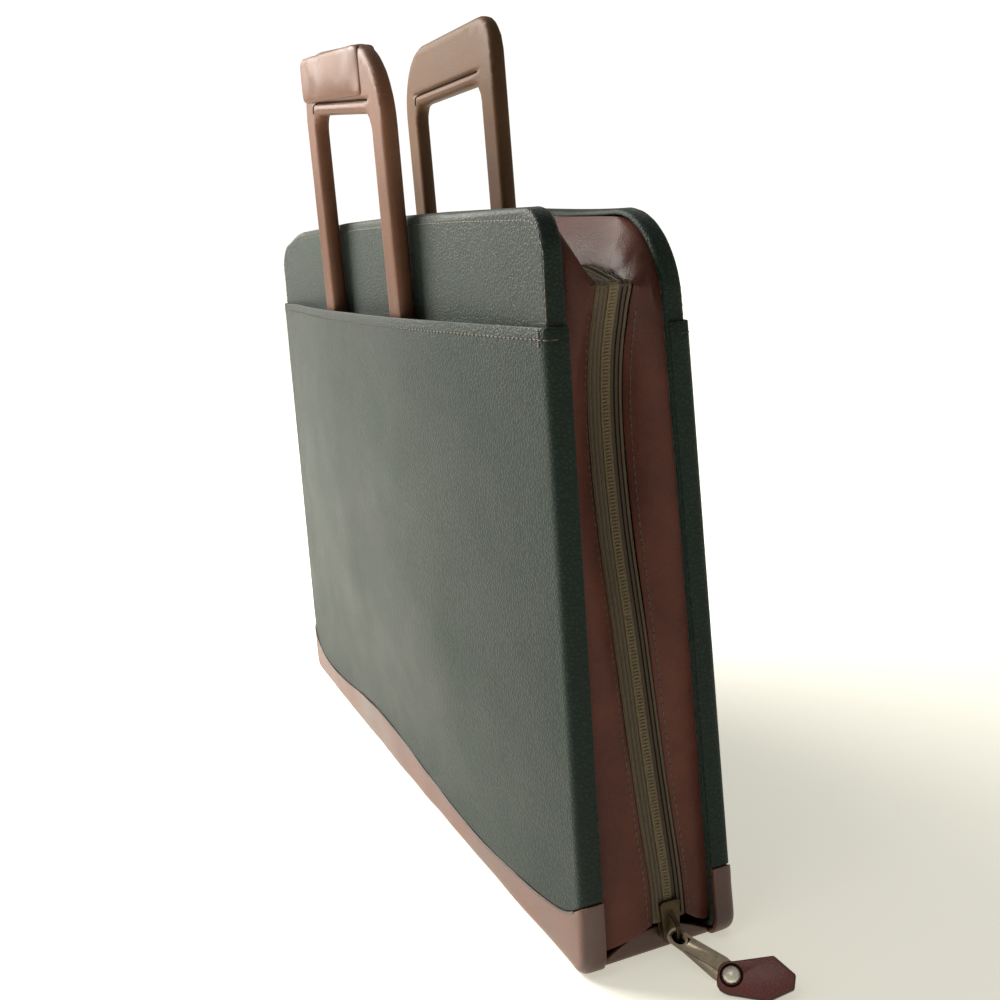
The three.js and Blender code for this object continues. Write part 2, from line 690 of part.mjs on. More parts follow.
function makePullTab() {
  const low = TAB_RISE - TAB_HALF;
  const rootTop = low + 2 * TAB_ROOT_HALF;
  const blank = plate(roundedOutline([
    { x: -TAB_ROOT, y: -TAB_ROOT_HALF, r: 4 },
    { x: 0, y: low, r: 0 },
    { x: TAB_SHOULDER, y: low, r: 1.5 },
    { x: TAB_LENGTH, y: TAB_RISE - TAB_TIP_HALF, r: 1.2 },
    { x: TAB_LENGTH, y: TAB_RISE + TAB_TIP_HALF, r: 1.2 },
    { x: TAB_SHOULDER, y: TAB_RISE + TAB_HALF, r: 1.5 },
    { x: 0, y: rootTop, r: 0 },
    { x: -TAB_ROOT, y: rootTop - 1, r: 4 },
  ], 3), TAB_THICK, 0.4, 1);
  blank.translate(0, 0, -TAB_THICK / 2);
  const bore = new THREE.CylinderGeometry(RIVET_SHANK + GAP, RIVET_SHANK + GAP, 3 * TAB_THICK, 14);
  bore.rotateX(Math.PI / 2);
  return fromSolid(toSolid(blank).subtract(toSolid(weld(bore))));
}

function makeRivet() {
  const front = TAB_THICK / 2 + GAP;
  const back = -TAB_THICK / 2 - 2 * GAP - PULL_PLATE;
  const profile = [
    new THREE.Vector2(0, back - 0.8),
    new THREE.Vector2(RIVET_RADIUS - 0.6, back - 0.8),
    new THREE.Vector2(RIVET_RADIUS - 0.3, back),
    new THREE.Vector2(RIVET_SHANK, back),
    new THREE.Vector2(RIVET_SHANK, front),
    new THREE.Vector2(RIVET_RADIUS, front),
    new THREE.Vector2(RIVET_RADIUS * 0.8, front + RIVET_DOME * 0.6),
    new THREE.Vector2(RIVET_RADIUS * 0.45, front + RIVET_DOME * 0.92),
    new THREE.Vector2(0, front + RIVET_DOME),
  ];
  const rivet = new THREE.LatheGeometry(profile, 16);
  rivet.rotateX(Math.PI / 2);
  return weld(rivet);
}

// Handles: a flat loop of two legs and a bar, which may have gone out of square
function handleOutline(handle, grow) {
  const half = HANDLE_WIDTH / 2 + grow;
  const leg = HANDLE_LEG + 2 * grow;
  const length = handle.top - MOUTH_HEIGHT + HANDLE_TUCK + grow;
  const bar = HANDLE_BAR + grow;
  return roundedOutline([
    { x: half, y: -length, r: HANDLE_FOOT },
    { x: half, y: grow, r: HANDLE_SHOULDER },
    { x: -half, y: grow, r: HANDLE_SHOULDER },
    { x: -half, y: -length, r: HANDLE_FOOT },
    { x: -half + leg, y: -length, r: HANDLE_FOOT },
    { x: -half + leg, y: -bar, r: HANDLE_ARMPIT },
    { x: half - leg, y: -bar, r: HANDLE_ARMPIT },
    { x: half - leg, y: -length, r: HANDLE_FOOT },
  ], 4).map((point) => new THREE.Vector2(point.x, point.y + handle.skew * point.x));
}

// Stands a plate drawn in x and height upright, with its thickness centred on y = 0
function standUp(geometry, thickness) {
  return mapVertices(geometry, (point) => new THREE.Vector3(point.x, point.z - thickness / 2, point.y));
}

function makeHandle(handle) {
  return standUp(plate(handleOutline(handle, 0), HANDLE_THICK, HANDLE_EDGE, 3), HANDLE_THICK);
}

function makeGripWrap(handle) {
  const left = -HANDLE_WIDTH / 2 - GAP - WRAP_LEATHER;
  const top = GAP + WRAP_LEATHER;
  const hem = -HANDLE_BAR + WRAP_HEM;
  const thickness = HANDLE_THICK + 2 * (GAP + WRAP_LEATHER);
  const block = plate(roundedOutline([
    { x: WRAP_END, y: hem, r: 3 },
    { x: WRAP_END, y: top, r: 3 },
    { x: left, y: top, r: 6 },
    { x: left, y: hem, r: 4 },
  ], 3).map((point) => new THREE.Vector2(point.x, point.y + handle.skew * point.x)), thickness, 1.6, 2);
  const hollow = HANDLE_THICK + 2 * GAP;
  const core = standUp(plate(handleOutline(handle, GAP), hollow), hollow);
  return fromSolid(toSolid(standUp(block, thickness)).subtract(toSolid(core)));
}

// The handle stands upright, with its feet just clear of the board
function handleGroup(side, handle) {
  const clear = halfDepth(MOUTH_HEIGHT - HANDLE_TUCK) + HANDLE_CLEAR;
  const group = new THREE.Group();
  group.position.set(handle.middle, side * (clear + HANDLE_THICK / 2), handle.top);
  group.rotation.y = radians(handle.roll);
  return group;
}

const attacheCase = new THREE.Group();

for (const [name, side, handle] of [['front', FRONT, FRONT_HANDLE], ['back', BACK, BACK_HANDLE]]) {
  attacheCase.add(makeMesh(`${name}_board`, makeBoard(side), GREEN));
  attacheCase.add(makeMesh(`${name}_pocket`, makePocket(side, handle), GREEN));
  attacheCase.add(makeMesh(`${name}_trim`, makeTrim(side), BROWN));
  attacheCase.add(makeMesh(`${name}_gusset`, makeGusset(side), BURGUNDY));
  attacheCase.add(makeMesh(`${name}_zip_tape`, makeTape(side), TAPE));
  const grip = handleGroup(side, handle);
  grip.add(makeMesh(`${name}_handle`, makeHandle(handle), HANDLE_BROWN));
  if (side === FRONT) grip.add(makeMesh('front_grip_wrap', makeGripWrap(handle), HANDLE_BROWN));
  attacheCase.add(grip);
}
attacheCase.add(makeMesh('base_strip', makeBase(), BROWN));
attacheCase.add(makeMesh('zip_chain', makeChain(), BRONZE));

const slider = makeMesh('zip_slider', makeSlider(), BRONZE);
slider.position.set(halfWidth(SLIDER_FOOT + SLIDER_LENGTH / 2), ZIP_DRIFT, SLIDER_FOOT);
slider.quaternion.setFromRotationMatrix(new THREE.Matrix4().makeBasis(
  new THREE.Vector3(0, 1, 0),
  new THREE.Vector3(0, 0, 1),
  new THREE.Vector3(1, 0, 0),
));
attacheCase.add(slider);

const pull = new THREE.Group();
const tilt = radians(PULL_TILT);
const tabFoot = (TAB_HALF - TAB_RISE) * Math.sin(tilt) + (TAB_THICK / 2) * Math.cos(tilt);
pull.rotation.set(tilt, 0, radians(PULL_HEADING), 'ZXY');
const eye = eyeCentre().applyEuler(pull.rotation);
pull.position.set(
  slider.position.x + bridgeReach() - BRIDGE_BAR / 2 - eye.x,
  slider.position.y - eye.y,
  tabFoot + TABLE_CLEARANCE,
);
pull.add(makeMesh('zip_pull', makePullFrame(), BRONZE));
pull.add(makeMesh('pull_tab', makePullTab(), BURGUNDY));
pull.add(makeMesh('pull_rivet', makeRivet(), BRONZE));
attacheCase.add(pull);

export default attacheCase;
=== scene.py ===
# %% [markdown]
# A slim leather attache case
#
# The case is two stiff, leather-covered boards with a zip round three sides. Each board has a
# slip pocket on its outside, and a flat handle drops down into each pocket. This lesson dresses
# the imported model: it gives every piece its leather, thread or metal, and adds what only shows
# close up, such as stitches, zip teeth and rolled edges.

# %% Load the frame
import math

import bmesh
import bpy
from mathutils import Matrix, Vector, noise
from mathutils.bvhtree import BVHTree


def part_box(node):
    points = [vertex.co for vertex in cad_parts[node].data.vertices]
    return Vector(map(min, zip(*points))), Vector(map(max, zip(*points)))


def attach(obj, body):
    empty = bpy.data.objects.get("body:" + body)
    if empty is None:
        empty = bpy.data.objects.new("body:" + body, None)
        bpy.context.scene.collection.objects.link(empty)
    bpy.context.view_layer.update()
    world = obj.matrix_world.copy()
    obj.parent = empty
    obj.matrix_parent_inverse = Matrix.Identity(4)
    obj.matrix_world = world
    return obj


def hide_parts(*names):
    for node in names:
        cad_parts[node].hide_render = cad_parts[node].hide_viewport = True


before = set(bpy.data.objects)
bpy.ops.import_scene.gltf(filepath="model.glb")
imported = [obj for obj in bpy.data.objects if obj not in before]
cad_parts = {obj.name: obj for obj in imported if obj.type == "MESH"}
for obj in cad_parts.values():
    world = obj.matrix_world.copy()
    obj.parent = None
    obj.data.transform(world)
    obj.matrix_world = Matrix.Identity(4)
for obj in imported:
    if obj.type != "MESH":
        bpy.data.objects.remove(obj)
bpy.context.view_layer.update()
MM = 0.001
print("nodes:", len(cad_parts))

# %% [markdown]
# The camera
#
# The photograph was taken from close to the zip end, a little above the case. Its place and its
# lens were worked out from the straight edges of the boards, so the camera is written as a place,
# a direction to look in and an up direction.

# %% Camera
CAMERA_PLACE = Vector((610.502, -208.597, 293.935)) * MM
CAMERA_LOOKS = Vector((-0.90936, 0.35560, -0.21590))
CAMERA_UP = Vector((-0.16974, 0.15666, 0.97296))
CAMERA_LENS = 44.12
SENSOR_WIDTH = 36.0

camera = bpy.data.objects.new("camera", bpy.data.cameras.new("camera"))
bpy.context.scene.collection.objects.link(camera)
bpy.context.scene.camera = camera
camera.data.lens = CAMERA_LENS
camera.data.sensor_width = SENSOR_WIDTH
camera.data.clip_start = 0.01
camera_right = CAMERA_LOOKS.cross(CAMERA_UP).normalized()
camera_turn = Matrix((camera_right, CAMERA_UP, -CAMERA_LOOKS)).transposed()
camera.matrix_world = Matrix.Translation(CAMERA_PLACE) @ camera_turn.to_4x4()
print("camera looks down by", round(math.degrees(math.asin(-CAMERA_LOOKS.z)), 1), "degrees")

# %% [markdown]
# Colours and nodes
#
# Colours are written as they are seen on a screen, as sRGB hex values, and one function turns
# them into the linear values that the shader works in. A second small function adds a shader
# node with its settings, values and links, so that each material reads as a short recipe.


# %% Colour and node helpers
def colour(hex_value):
    channels = []
    for start in (1, 3, 5):
        value = int(hex_value[start:start + 2], 16) / 255
        channels.append(value / 12.92 if value <= 0.04045 else ((value + 0.055) / 1.055) ** 2.4)
    return (*channels, 1.0)


def add_node(tree, kind, inputs=None, **settings):
    node = tree.nodes.new(kind)
    for setting, value in settings.items():
        setattr(node, setting, value)
    for socket, value in (inputs or {}).items():
        if isinstance(value, bpy.types.NodeSocket):
            tree.links.new(value, node.inputs[socket])
        else:
            node.inputs[socket].default_value = value
    return node


def new_material(name):
    material = bpy.data.materials.new(name)
    material.use_nodes = True
    tree = material.node_tree
    shader = tree.nodes["Principled BSDF"]
    place = add_node(tree, "ShaderNodeTexCoord").outputs["Object"]
    return material, tree, shader, place


def set_shader(shader, **values):
    for socket, value in values.items():
        shader.inputs[socket.replace("_", " ")].default_value = value


def per_mm(size_mm):
    """The texture scale at which one cell of a pattern is size_mm wide."""
    return 1.0 / (size_mm * MM)


# %% [markdown]
# Leather
#
# All the leathers here are chrome-tanned and pigmented: a plastic-like colour coat over a skin
# that was embossed with a grain. The boards have a round pebble grain, and the trim, the handles
# and the gussets are nearly smooth and take a waxy shine where hands rub them. One recipe makes
# them all: cells for the grain, a slow noise for the handling marks, and a fine noise for pores.
# Where a leather faces the case's ends, a share of its brightness is taken away: painted shade, as
# those faces turn away from the light.


# %% Leather recipe
BLOTCH_MM = 60
PORE_MM = 0.7
PORE_SHARE = 0.25
SHINE_SPREAD = 0.08


def leather(name, base, dark, worn, grain_mm, grain_depth, rough, wear, crease=0.9,
            coat=0.0, ior=1.5, painted_end_shade=1.0, sheen=0.0):
    material, tree, shader, place = new_material(name)
    wobble = add_node(tree, "ShaderNodeTexNoise", {
        "Vector": place, "Scale": per_mm(grain_mm * 2.5), "Detail": 2.0,
    })
    bent = add_node(tree, "ShaderNodeVectorMath", {
        0: wobble.outputs["Color"], 1: (grain_mm * MM,) * 3,
    }, operation="MULTIPLY")
    grain_place = add_node(tree, "ShaderNodeVectorMath", {0: place, 1: bent.outputs["Vector"]})
    cells = add_node(tree, "ShaderNodeTexVoronoi", {
        "Vector": grain_place.outputs["Vector"], "Scale": per_mm(grain_mm),
    }, feature="DISTANCE_TO_EDGE")
    pebble = add_node(tree, "ShaderNodeMapRange", {
        "Value": cells.outputs["Distance"], "From Min": 0.0, "From Max": 0.28,
    }, interpolation_type="SMOOTHSTEP")
    pores = add_node(tree, "ShaderNodeTexNoise", {
        "Vector": place, "Scale": per_mm(PORE_MM), "Detail": 3.0,
    })
    blotch = add_node(tree, "ShaderNodeTexNoise", {
        "Vector": place, "Scale": per_mm(BLOTCH_MM), "Detail": 5.0, "Roughness": 0.6,
    })
    blotchy = add_node(tree, "ShaderNodeMapRange", {
        "Value": blotch.outputs["Fac"], "From Min": 0.35, "From Max": 0.68,
    })
    ground = add_node(tree, "ShaderNodeMix", {
        "Factor": blotchy.outputs["Result"], "A": colour(dark), "B": colour(base),
    }, data_type="RGBA")
    edge = add_node(tree, "ShaderNodeNewGeometry")
    ridge = add_node(tree, "ShaderNodeMapRange", {
        "Value": edge.outputs["Pointiness"], "From Min": 0.52, "From Max": 0.62,
    })
    rubbed = add_node(tree, "ShaderNodeMath", {
        0: ridge.outputs["Result"], 1: blotch.outputs["Fac"],
    }, operation="MULTIPLY")
    rubbing = add_node(tree, "ShaderNodeMath", {
        0: rubbed.outputs["Value"], 1: wear,
    }, operation="MULTIPLY")
    worn_mix = add_node(tree, "ShaderNodeMix", {
        "Factor": rubbing.outputs["Value"], "A": ground.outputs["Result"], "B": colour(worn),
    }, data_type="RGBA")
    # Painted shade: the grain's crevices between the cells are darkened, down to crease.
    creases = add_node(tree, "ShaderNodeMapRange", {
        "Value": pebble.outputs["Result"], "To Min": crease, "To Max": 1.0,
    })
    shaded = add_node(tree, "ShaderNodeMix", {
        "Factor": 1.0, "A": worn_mix.outputs["Result"], "B": creases.outputs["Result"],
    }, data_type="RGBA", blend_type="MULTIPLY")
    # Painted shade: faces that turn towards the case's ends are darkened by painted_end_shade.
    facing = add_node(tree, "ShaderNodeSeparateXYZ", {0: edge.outputs["Normal"]})
    sideways = add_node(tree, "ShaderNodeMath", {0: facing.outputs["X"]}, operation="ABSOLUTE")
    end_shade_factor = add_node(tree, "ShaderNodeMapRange", {
        "Value": sideways.outputs["Value"], "From Min": 0.3, "From Max": 0.8,
        "To Min": 1.0, "To Max": painted_end_shade,
    })
    end_shaded = add_node(tree, "ShaderNodeMix", {
        "Factor": 1.0, "A": shaded.outputs["Result"], "B": end_shade_factor.outputs["Result"],
    }, data_type="RGBA", blend_type="MULTIPLY")
    tree.links.new(end_shaded.outputs["Result"], shader.inputs["Base Color"])
    shine = add_node(tree, "ShaderNodeMapRange", {
        "Value": blotch.outputs["Fac"], "From Min": 0.3, "From Max": 0.7,
        "To Min": rough - SHINE_SPREAD, "To Max": rough + SHINE_SPREAD,
    })
    tree.links.new(shine.outputs["Result"], shader.inputs["Roughness"])
    height = add_node(tree, "ShaderNodeMath", {
        0: pores.outputs["Fac"], 1: PORE_SHARE, 2: pebble.outputs["Result"],
    }, operation="MULTIPLY_ADD")
    bump = add_node(tree, "ShaderNodeBump", {
        "Height": height.outputs["Value"], "Distance": grain_depth * MM, "Strength": 1.0,
    })
    tree.links.new(bump.outputs["Normal"], shader.inputs["Normal"])
    set_shader(shader, IOR=ior, Coat_Weight=coat, Coat_Roughness=0.25,
               Sheen_Weight=sheen, Sheen_Roughness=0.35)
    return material


pebbled_green = leather("pebbled_green_leather", "#20342a", "#1a2a22", "#566059",
                        grain_mm=1.9, grain_depth=0.1, rough=0.54, wear=0.3, crease=0.55, ior=1.27,
                        painted_end_shade=0.75, sheen=0.13)
smooth_brown = leather("smooth_brown_leather", "#744a3c", "#55352b", "#b08a76",
                       grain_mm=1.4, grain_depth=0.03, rough=0.38, wear=1.0, coat=0.12, painted_end_shade=0.6)
handle_brown = leather("handle_brown_leather", "#78503a", "#603d2b", "#a5826a",
                       grain_mm=1.2, grain_depth=0.03, rough=0.44, wear=0.8, ior=1.28, painted_end_shade=0.85)
rear_brown = leather("rear_handle_leather", "#735239", "#61452f", "#94765a",
                     grain_mm=1.2, grain_depth=0.03, rough=0.5, wear=0.7, ior=1.22, painted_end_shade=0.55)
glossy_burgundy = leather("glossy_burgundy_leather", "#6a4036", "#4a2d26", "#96685a",
                          grain_mm=1.3, grain_depth=0.03, rough=0.4, wear=0.4, ior=1.2)
tab_leather = leather("burgundy_tab_leather", "#8a3a32", "#6e2c27", "#a86a58",
                      grain_mm=1.3, grain_depth=0.03, rough=0.34, wear=0.6, coat=0.2)
# The tab's real edge paint, and painted shade in the trim seam and the gusset's stitch channel.
edge_paint_and_shade = leather("edge_paint_and_shade", "#2a1a16", "#1d110e", "#6b5044",
                          grain_mm=1.0, grain_depth=0.02, rough=0.3, wear=0.9)
print("leathers:", 7)

# %% [markdown]
# Tape, thread and metal
#
# The zip's tape is a polyester weave with lengthwise cords, so its shader is matt and ribbed.
# The thread is bonded nylon, smooth and a little glossy. The slider is antique brass, which is
# plated dark and rubs bright on its corners, and the pull is pale gilt that has worn to steel.


# %% Woven tape, thread and metals
def woven_tape(name, light, dark, thread_mm):
    material, tree, shader, place = new_material(name)
    weave = add_node(tree, "ShaderNodeTexNoise", {
        "Vector": place, "Scale": per_mm(thread_mm), "Detail": 2.0, "Roughness": 0.7,
    })
    mix = add_node(tree, "ShaderNodeMix", {
        "Factor": weave.outputs["Fac"], "A": colour(dark), "B": colour(light),
    }, data_type="RGBA")
    tree.links.new(mix.outputs["Result"], shader.inputs["Base Color"])
    bump = add_node(tree, "ShaderNodeBump", {"Height": weave.outputs["Fac"], "Distance": 0.15 * MM})
    tree.links.new(bump.outputs["Normal"], shader.inputs["Normal"])
    set_shader(shader, Roughness=0.8, Sheen_Weight=0.2)
    return material


# Also makes the dark matt looks that are painted shade in grooves.
def thread(name, base, rough=0.55, ior=1.5):
    material, tree, shader, place = new_material(name)
    twist = add_node(tree, "ShaderNodeTexNoise", {"Vector": place, "Scale": per_mm(0.5)})
    mix = add_node(tree, "ShaderNodeMix", {
        "Factor": twist.outputs["Fac"], "A": colour("#2a1f16"), "B": colour(base),
    }, data_type="RGBA")
    tree.links.new(mix.outputs["Result"], shader.inputs["Base Color"])
    set_shader(shader, Roughness=rough, IOR=ior)
    return material


def plated_metal(name, bright, dull, rough, metallic=1.0):
    material, tree, shader, place = new_material(name)
    tarnish = add_node(tree, "ShaderNodeTexNoise", {
        "Vector": place, "Scale": per_mm(3), "Detail": 5.0,
    })
    mix = add_node(tree, "ShaderNodeMix", {
        "Factor": tarnish.outputs["Fac"], "A": colour(dull), "B": colour(bright),
    }, data_type="RGBA")
    tree.links.new(mix.outputs["Result"], shader.inputs["Base Color"])
    scuff = add_node(tree, "ShaderNodeMapRange", {
        "Value": tarnish.outputs["Fac"], "To Min": rough + 0.15, "To Max": rough - 0.08,
    })
    tree.links.new(scuff.outputs["Result"], shader.inputs["Roughness"])
    set_shader(shader, Metallic=metallic)
    return material


olive_tape = woven_tape("olive_zip_tape", "#66563a", "#3b3020", thread_mm=0.6)
olive_coil = woven_tape("olive_nylon_coil", "#7a6a4a", "#4a3d29", thread_mm=1.2)
# Painted shade: a darker copy of the tape, for the back strip and the front strip's dips.
painted_shade_tape = woven_tape("painted_shade_zip_tape", "#4a3d2c", "#2a2219", thread_mm=0.6)
brown_thread = thread("brown_bonded_thread", "#6c5d47")
# A dark matt look that stands for shade: painted shade in grooves and round the rivet.
painted_dark_shade = thread("painted_dark_shade_matt", "#1c120e", rough=0.9, ior=1.15)
# Painted shade: a darker green for the channels that the stitches sink into.
seam_channel_shade = thread("painted_seam_channel_shade", "#2b332e")
antique_brass = plated_metal("antique_brass", "#62543f", "#2c241a", rough=0.38)
pale_gilt = plated_metal("pale_gilt", "#d6c8b0", "#8a7659", rough=0.24)
tarnished_gilt = plated_metal("tarnished_gilt", "#b8967a", "#6a4c38", rough=0.45)
# Painted highlight: a near-white, half-matt rivet that stands for the bright reflection on its dome.
rivet_painted_highlight = plated_metal("gilt_rivet_painted_highlight", "#fffbee", "#efe6cf", rough=0.3,
                              metallic=0.4)


# %% [markdown]
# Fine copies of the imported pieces
#
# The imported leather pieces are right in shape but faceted. A fine copy merges a piece's loose
# triangles, joins them back into quads, marks its cut edges with a crease and subdivides it.
# The cut edges are then rounded by a small bevel, as a turned or burnished leather edge is.


# %% Fine copies
SHARP = math.radians(48)


def copy_of(node, flat=False):
    shape = bmesh.new()
    shape.from_mesh(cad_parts[node].data)
    bmesh.ops.remove_doubles(shape, verts=shape.verts, dist=0.01 * MM)
    if flat:
        bmesh.ops.dissolve_limit(shape, angle_limit=math.radians(1),
                                 verts=shape.verts, edges=shape.edges)
    return shape


def piece_from(name, mesh, body, material):
    """The finished piece made of a mesh: smooth, in one material, and carried by its body."""
    mesh.shade_smooth()
    mesh.materials.clear()
    mesh.materials.append(material)
    piece = bpy.data.objects.new(name, mesh)
    bpy.context.scene.collection.objects.link(piece)
    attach(piece, body)
    return piece


def make_piece(name, shape, body, material, replaced=None):
    mesh = bpy.data.meshes.new(name)
    shape.to_mesh(mesh)
    shape.free()
    piece = piece_from(name, mesh, body, material)
    if replaced:
        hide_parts(replaced)
    return piece


def finish_modifiers(piece):
    """Puts what a piece's modifiers make into its mesh."""
    graph = bpy.context.evaluated_depsgraph_get()
    mesh = bpy.data.meshes.new_from_object(piece.evaluated_get(graph))
    piece.modifiers.clear()
    piece.data = mesh
    mesh.shade_smooth()


def round_edges(piece, width_mm, segments=2, angle=SHARP):
    bevel = piece.modifiers.new("rounded_edges", "BEVEL")
    bevel.width = width_mm * MM
    bevel.segments = segments
    bevel.limit_method = "ANGLE"
    bevel.angle_limit = angle


def fine_leather(node, body, material, edge_mm, levels=2):
    shape = copy_of(node)
    bmesh.ops.join_triangles(shape, faces=shape.faces,
                             angle_face_threshold=0.7, angle_shape_threshold=1.2)
    crease = shape.edges.layers.float.new("crease_edge")
    for edge in shape.edges:
        if edge.calc_face_angle(0) > SHARP:
            edge[crease] = 1.0
    piece = make_piece(node + "_leather", shape, body, material, node)
    subdivide = piece.modifiers.new("smooth_form", "SUBSURF")
    subdivide.levels = levels
    subdivide.render_levels = levels
    round_edges(piece, edge_mm)
    finish_modifiers(piece)
    return piece


def slice_up(shape, axis, low, high, step_mm):
    """Cuts a shape across one axis at an even step, so that it has points to move."""
    count = max(round((high - low) / (step_mm * MM)), 1)
    for k in range(1, count):
        place = Vector((0, 0, 0))
        place[axis] = low + (high - low) * k / count
        across = Vector((0, 0, 0))
        across[axis] = 1
        geometry = shape.verts[:] + shape.edges[:] + shape.faces[:]
        bmesh.ops.bisect_plane(shape, geom=geometry, dist=0.001 * MM,
                               plane_co=place, plane_no=across)


# %% [markdown]
# Soft unevenness
#
# Leather over board is never quite flat. Each point is moved by a slow noise that is the same
# through the leather's thickness, so that the two faces of a wall move together and the wall
# keeps its thickness.

# %% Unevenness
def rumple(piece, size_mm, height_mm, along, stretch=(1, 1, 1), where=None):
    along = Vector(along)
    stretch = Vector(stretch)
    for vertex in piece.data.vertices:
        spot = vertex.co * stretch / (size_mm * MM)
        strength = where(vertex.co / MM) if where else 1
        vertex.co += along * (noise.noise(spot) * strength * height_mm * MM)
    piece.data.update()


# %% [markdown]
# Settled corners
#
# An old case has settled: its back half hangs a few millimetres lower towards its ends, and the
# front board's far top corner has worn rounder than the near one. The same drop is used for each
# piece of the case and for the rays that look for its seams, so that all of it stays together.

# %% Settling
BACK_HANG = 3.4
CORNER_WEAR = 7
HALF_DEPTH = (2, 18)


def ramp(value, low, high):
    share = min(max((value - low) / (high - low), 0), 1)
    return share * share * (3 - 2 * share)


def drop_mm(x, y, z):
    """How far the place x, y, z has dropped, all in millimetres."""
    back = BACK_HANG * ramp(y, *HALF_DEPTH) * ramp(abs(x), 20, 170) * ramp(z, 90, 290)
    far_corner = CORNER_WEAR * ramp(-y, *HALF_DEPTH) * ramp(-x, 150, 206) * ramp(z, 245, 298)
    return back + far_corner


def settle(piece):
    for vertex in piece.data.vertices:
        vertex.co.z -= drop_mm(*(vertex.co / MM)) * MM
    piece.data.update()


# %% [markdown]
# The two halves
#
# A half is a tray-shaped board, a pocket over its outside and a strip of trim round its foot.
# The board's rim is bound round with the same leather, so its edges are full and round, and its
# corners, which are packed as flats, are moved out to a true arc. Above the pocket, years of
# pushing the handles down have left soft upright dents in the leather.

# %% True arcs
def true_arcs(shape, middle_x, level_at, corners, arc_step):
    """Moves the points of round corners, which are packed as flats, out to the arc itself.

    A corner is its centre's distance aside and its height above the level, and how near and how
    far from the centre the points lie that it moves, all in millimetres.
    """
    for vertex in shape.verts:
        across = (vertex.co.x - middle_x) / MM
        up = (vertex.co.z - level_at(vertex.co.x)) / MM
        for aside, level, nearest, furthest in corners:
            out = Vector((abs(across) - aside, up - level))
            if out.x < 0 or out.y < 0 or not nearest < out.length < furthest:
                continue
            along = math.atan2(out.y, out.x) % arc_step - arc_step / 2
            grown = out * (math.cos(along) / math.cos(arc_step / 2) - 1)
            vertex.co.x += math.copysign(grown.x, across) * MM
            vertex.co.z += grown.y * MM


# %% Boards, pockets and trims
BOARD_STEP_MM = 8
CORNER_STEP_MM = 2.5
RIM_MM = 3.5
BOARD_ARC_STEP = math.radians(15)
BOARD_HEIGHT = 300
BOARD_TOP_HALF = 208.5
CROWN = 3.4
BOARD_CORNER = {"front": 16, "back": 33}


def crown_level(x):
    return (BOARD_HEIGHT + CROWN * (1 - (x / (BOARD_TOP_HALF * MM)) ** 2)) * MM


def board(side, hand):
    node = side + "_board"
    shape = copy_of(node, flat=True)
    low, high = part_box(node)
    for axis in (0, 2):
        slice_up(shape, axis, low[axis], high[axis], BOARD_STEP_MM)
    radius = BOARD_CORNER[side]
    slice_up(shape, 2, high.z - (radius + CROWN) * MM, high.z, CORNER_STEP_MM)
    for way in (-1, 1):
        ends = sorted((way * BOARD_TOP_HALF * MM, way * (BOARD_TOP_HALF - radius) * MM))
        slice_up(shape, 0, ends[0], ends[1], CORNER_STEP_MM)
    corner = (BOARD_TOP_HALF - radius, -radius, radius - RIM_MM, radius + 0.5)
    true_arcs(shape, 0, crown_level, [corner], BOARD_ARC_STEP)
    piece = make_piece(node + "_leather", shape, "case", pebbled_green, node)
    rumple(piece, 48, 0.5, (0, hand, 0), (1, 1, 0.4))
    settle(piece)
    return piece


boards = {}
pockets = {}
trims = {}
for side, hand in (("front", -1), ("back", 1)):
    boards[side] = board(side, hand)
    pockets[side] = fine_leather(side + "_pocket", "case", pebbled_green, 0.5)
    rumple(pockets[side], 55, 0.2, (0, hand, 0), (1, 1, 0.3))
    settle(pockets[side])
    trims[side] = fine_leather(side + "_trim", "case", smooth_brown, 0.6)
    rumple(trims[side], 26, 0.5, (0, hand, 0))
    print(side, "half:", len(pockets[side].data.polygons), "pocket faces")

# %% Base strip, which is pressed out against the trims at its ends
PRESSED_OUT = 0.05
base = fine_leather("base_strip", "case", smooth_brown, 0.5, levels=1)
for vertex in base.data.vertices:
    vertex.co.y *= 1 + PRESSED_OUT * ramp(abs(vertex.co.x) / MM, 150, 200)
print("base strip points:", len(base.data.vertices))

# %% [markdown]
# Gussets
#
# The gussets are the softest leather of the case. They fold inwards along the zip, and years of
# opening have left them creased, so they get a stronger unevenness than the boards, and finer
# creases where they bunch up at the top corners.

# %% Gussets
BUNCH_HEIGHT = 272
BUNCH_REACH = 26
BUNCH_ASIDE = 165


def near_top_corner(place):
    """One at the case's top corners, where leather and tape bunch up, and none away from them."""
    if abs(place.x) <= BUNCH_ASIDE:
        return 0
    return max(1 - abs(place.z - BUNCH_HEIGHT) / BUNCH_REACH, 0)


gussets = {}
for side in ("front", "back"):
    gussets[side] = fine_leather(side + "_gusset", "case", glossy_burgundy, 0.4)
    rumple(gussets[side], 22, 1.0, (1, 0, 0), (1, 1, 0.35))
    rumple(gussets[side], 14, 0.5, (0, 0, 1), (0.5, 1, 1))
    rumple(gussets[side], 7, 1.5, (1, 0, 0.6), (1, 1, 0.5), near_top_corner)
    settle(gussets[side])
    print(side, "gusset:", len(gussets[side].data.polygons), "faces")

# %% [markdown]
# Lines on a surface
#
# Stitches, cords and zip teeth all follow a line that lies on a finished piece. The line is found
# by shooting a row of rays at the piece, which gives each place and the way the surface faces
# there. Walking along the line at an even pitch then gives the stations for stitches or teeth.


# %% Lines on a surface
def surface_of(piece):
    shape = bmesh.new()
    shape.from_mesh(piece.data)
    surface = BVHTree.FromBMesh(shape)
    shape.free()
    return surface


def line_on(surface, rays, reach=1.0):
    line = []
    for start, heading in rays:
        place, normal, _, _ = surface.ray_cast(start, heading, reach)
        if place is not None:
            line.append((place, normal if normal.dot(heading) < 0 else -normal))
    return line


LONGEST_STEP = 7 * MM


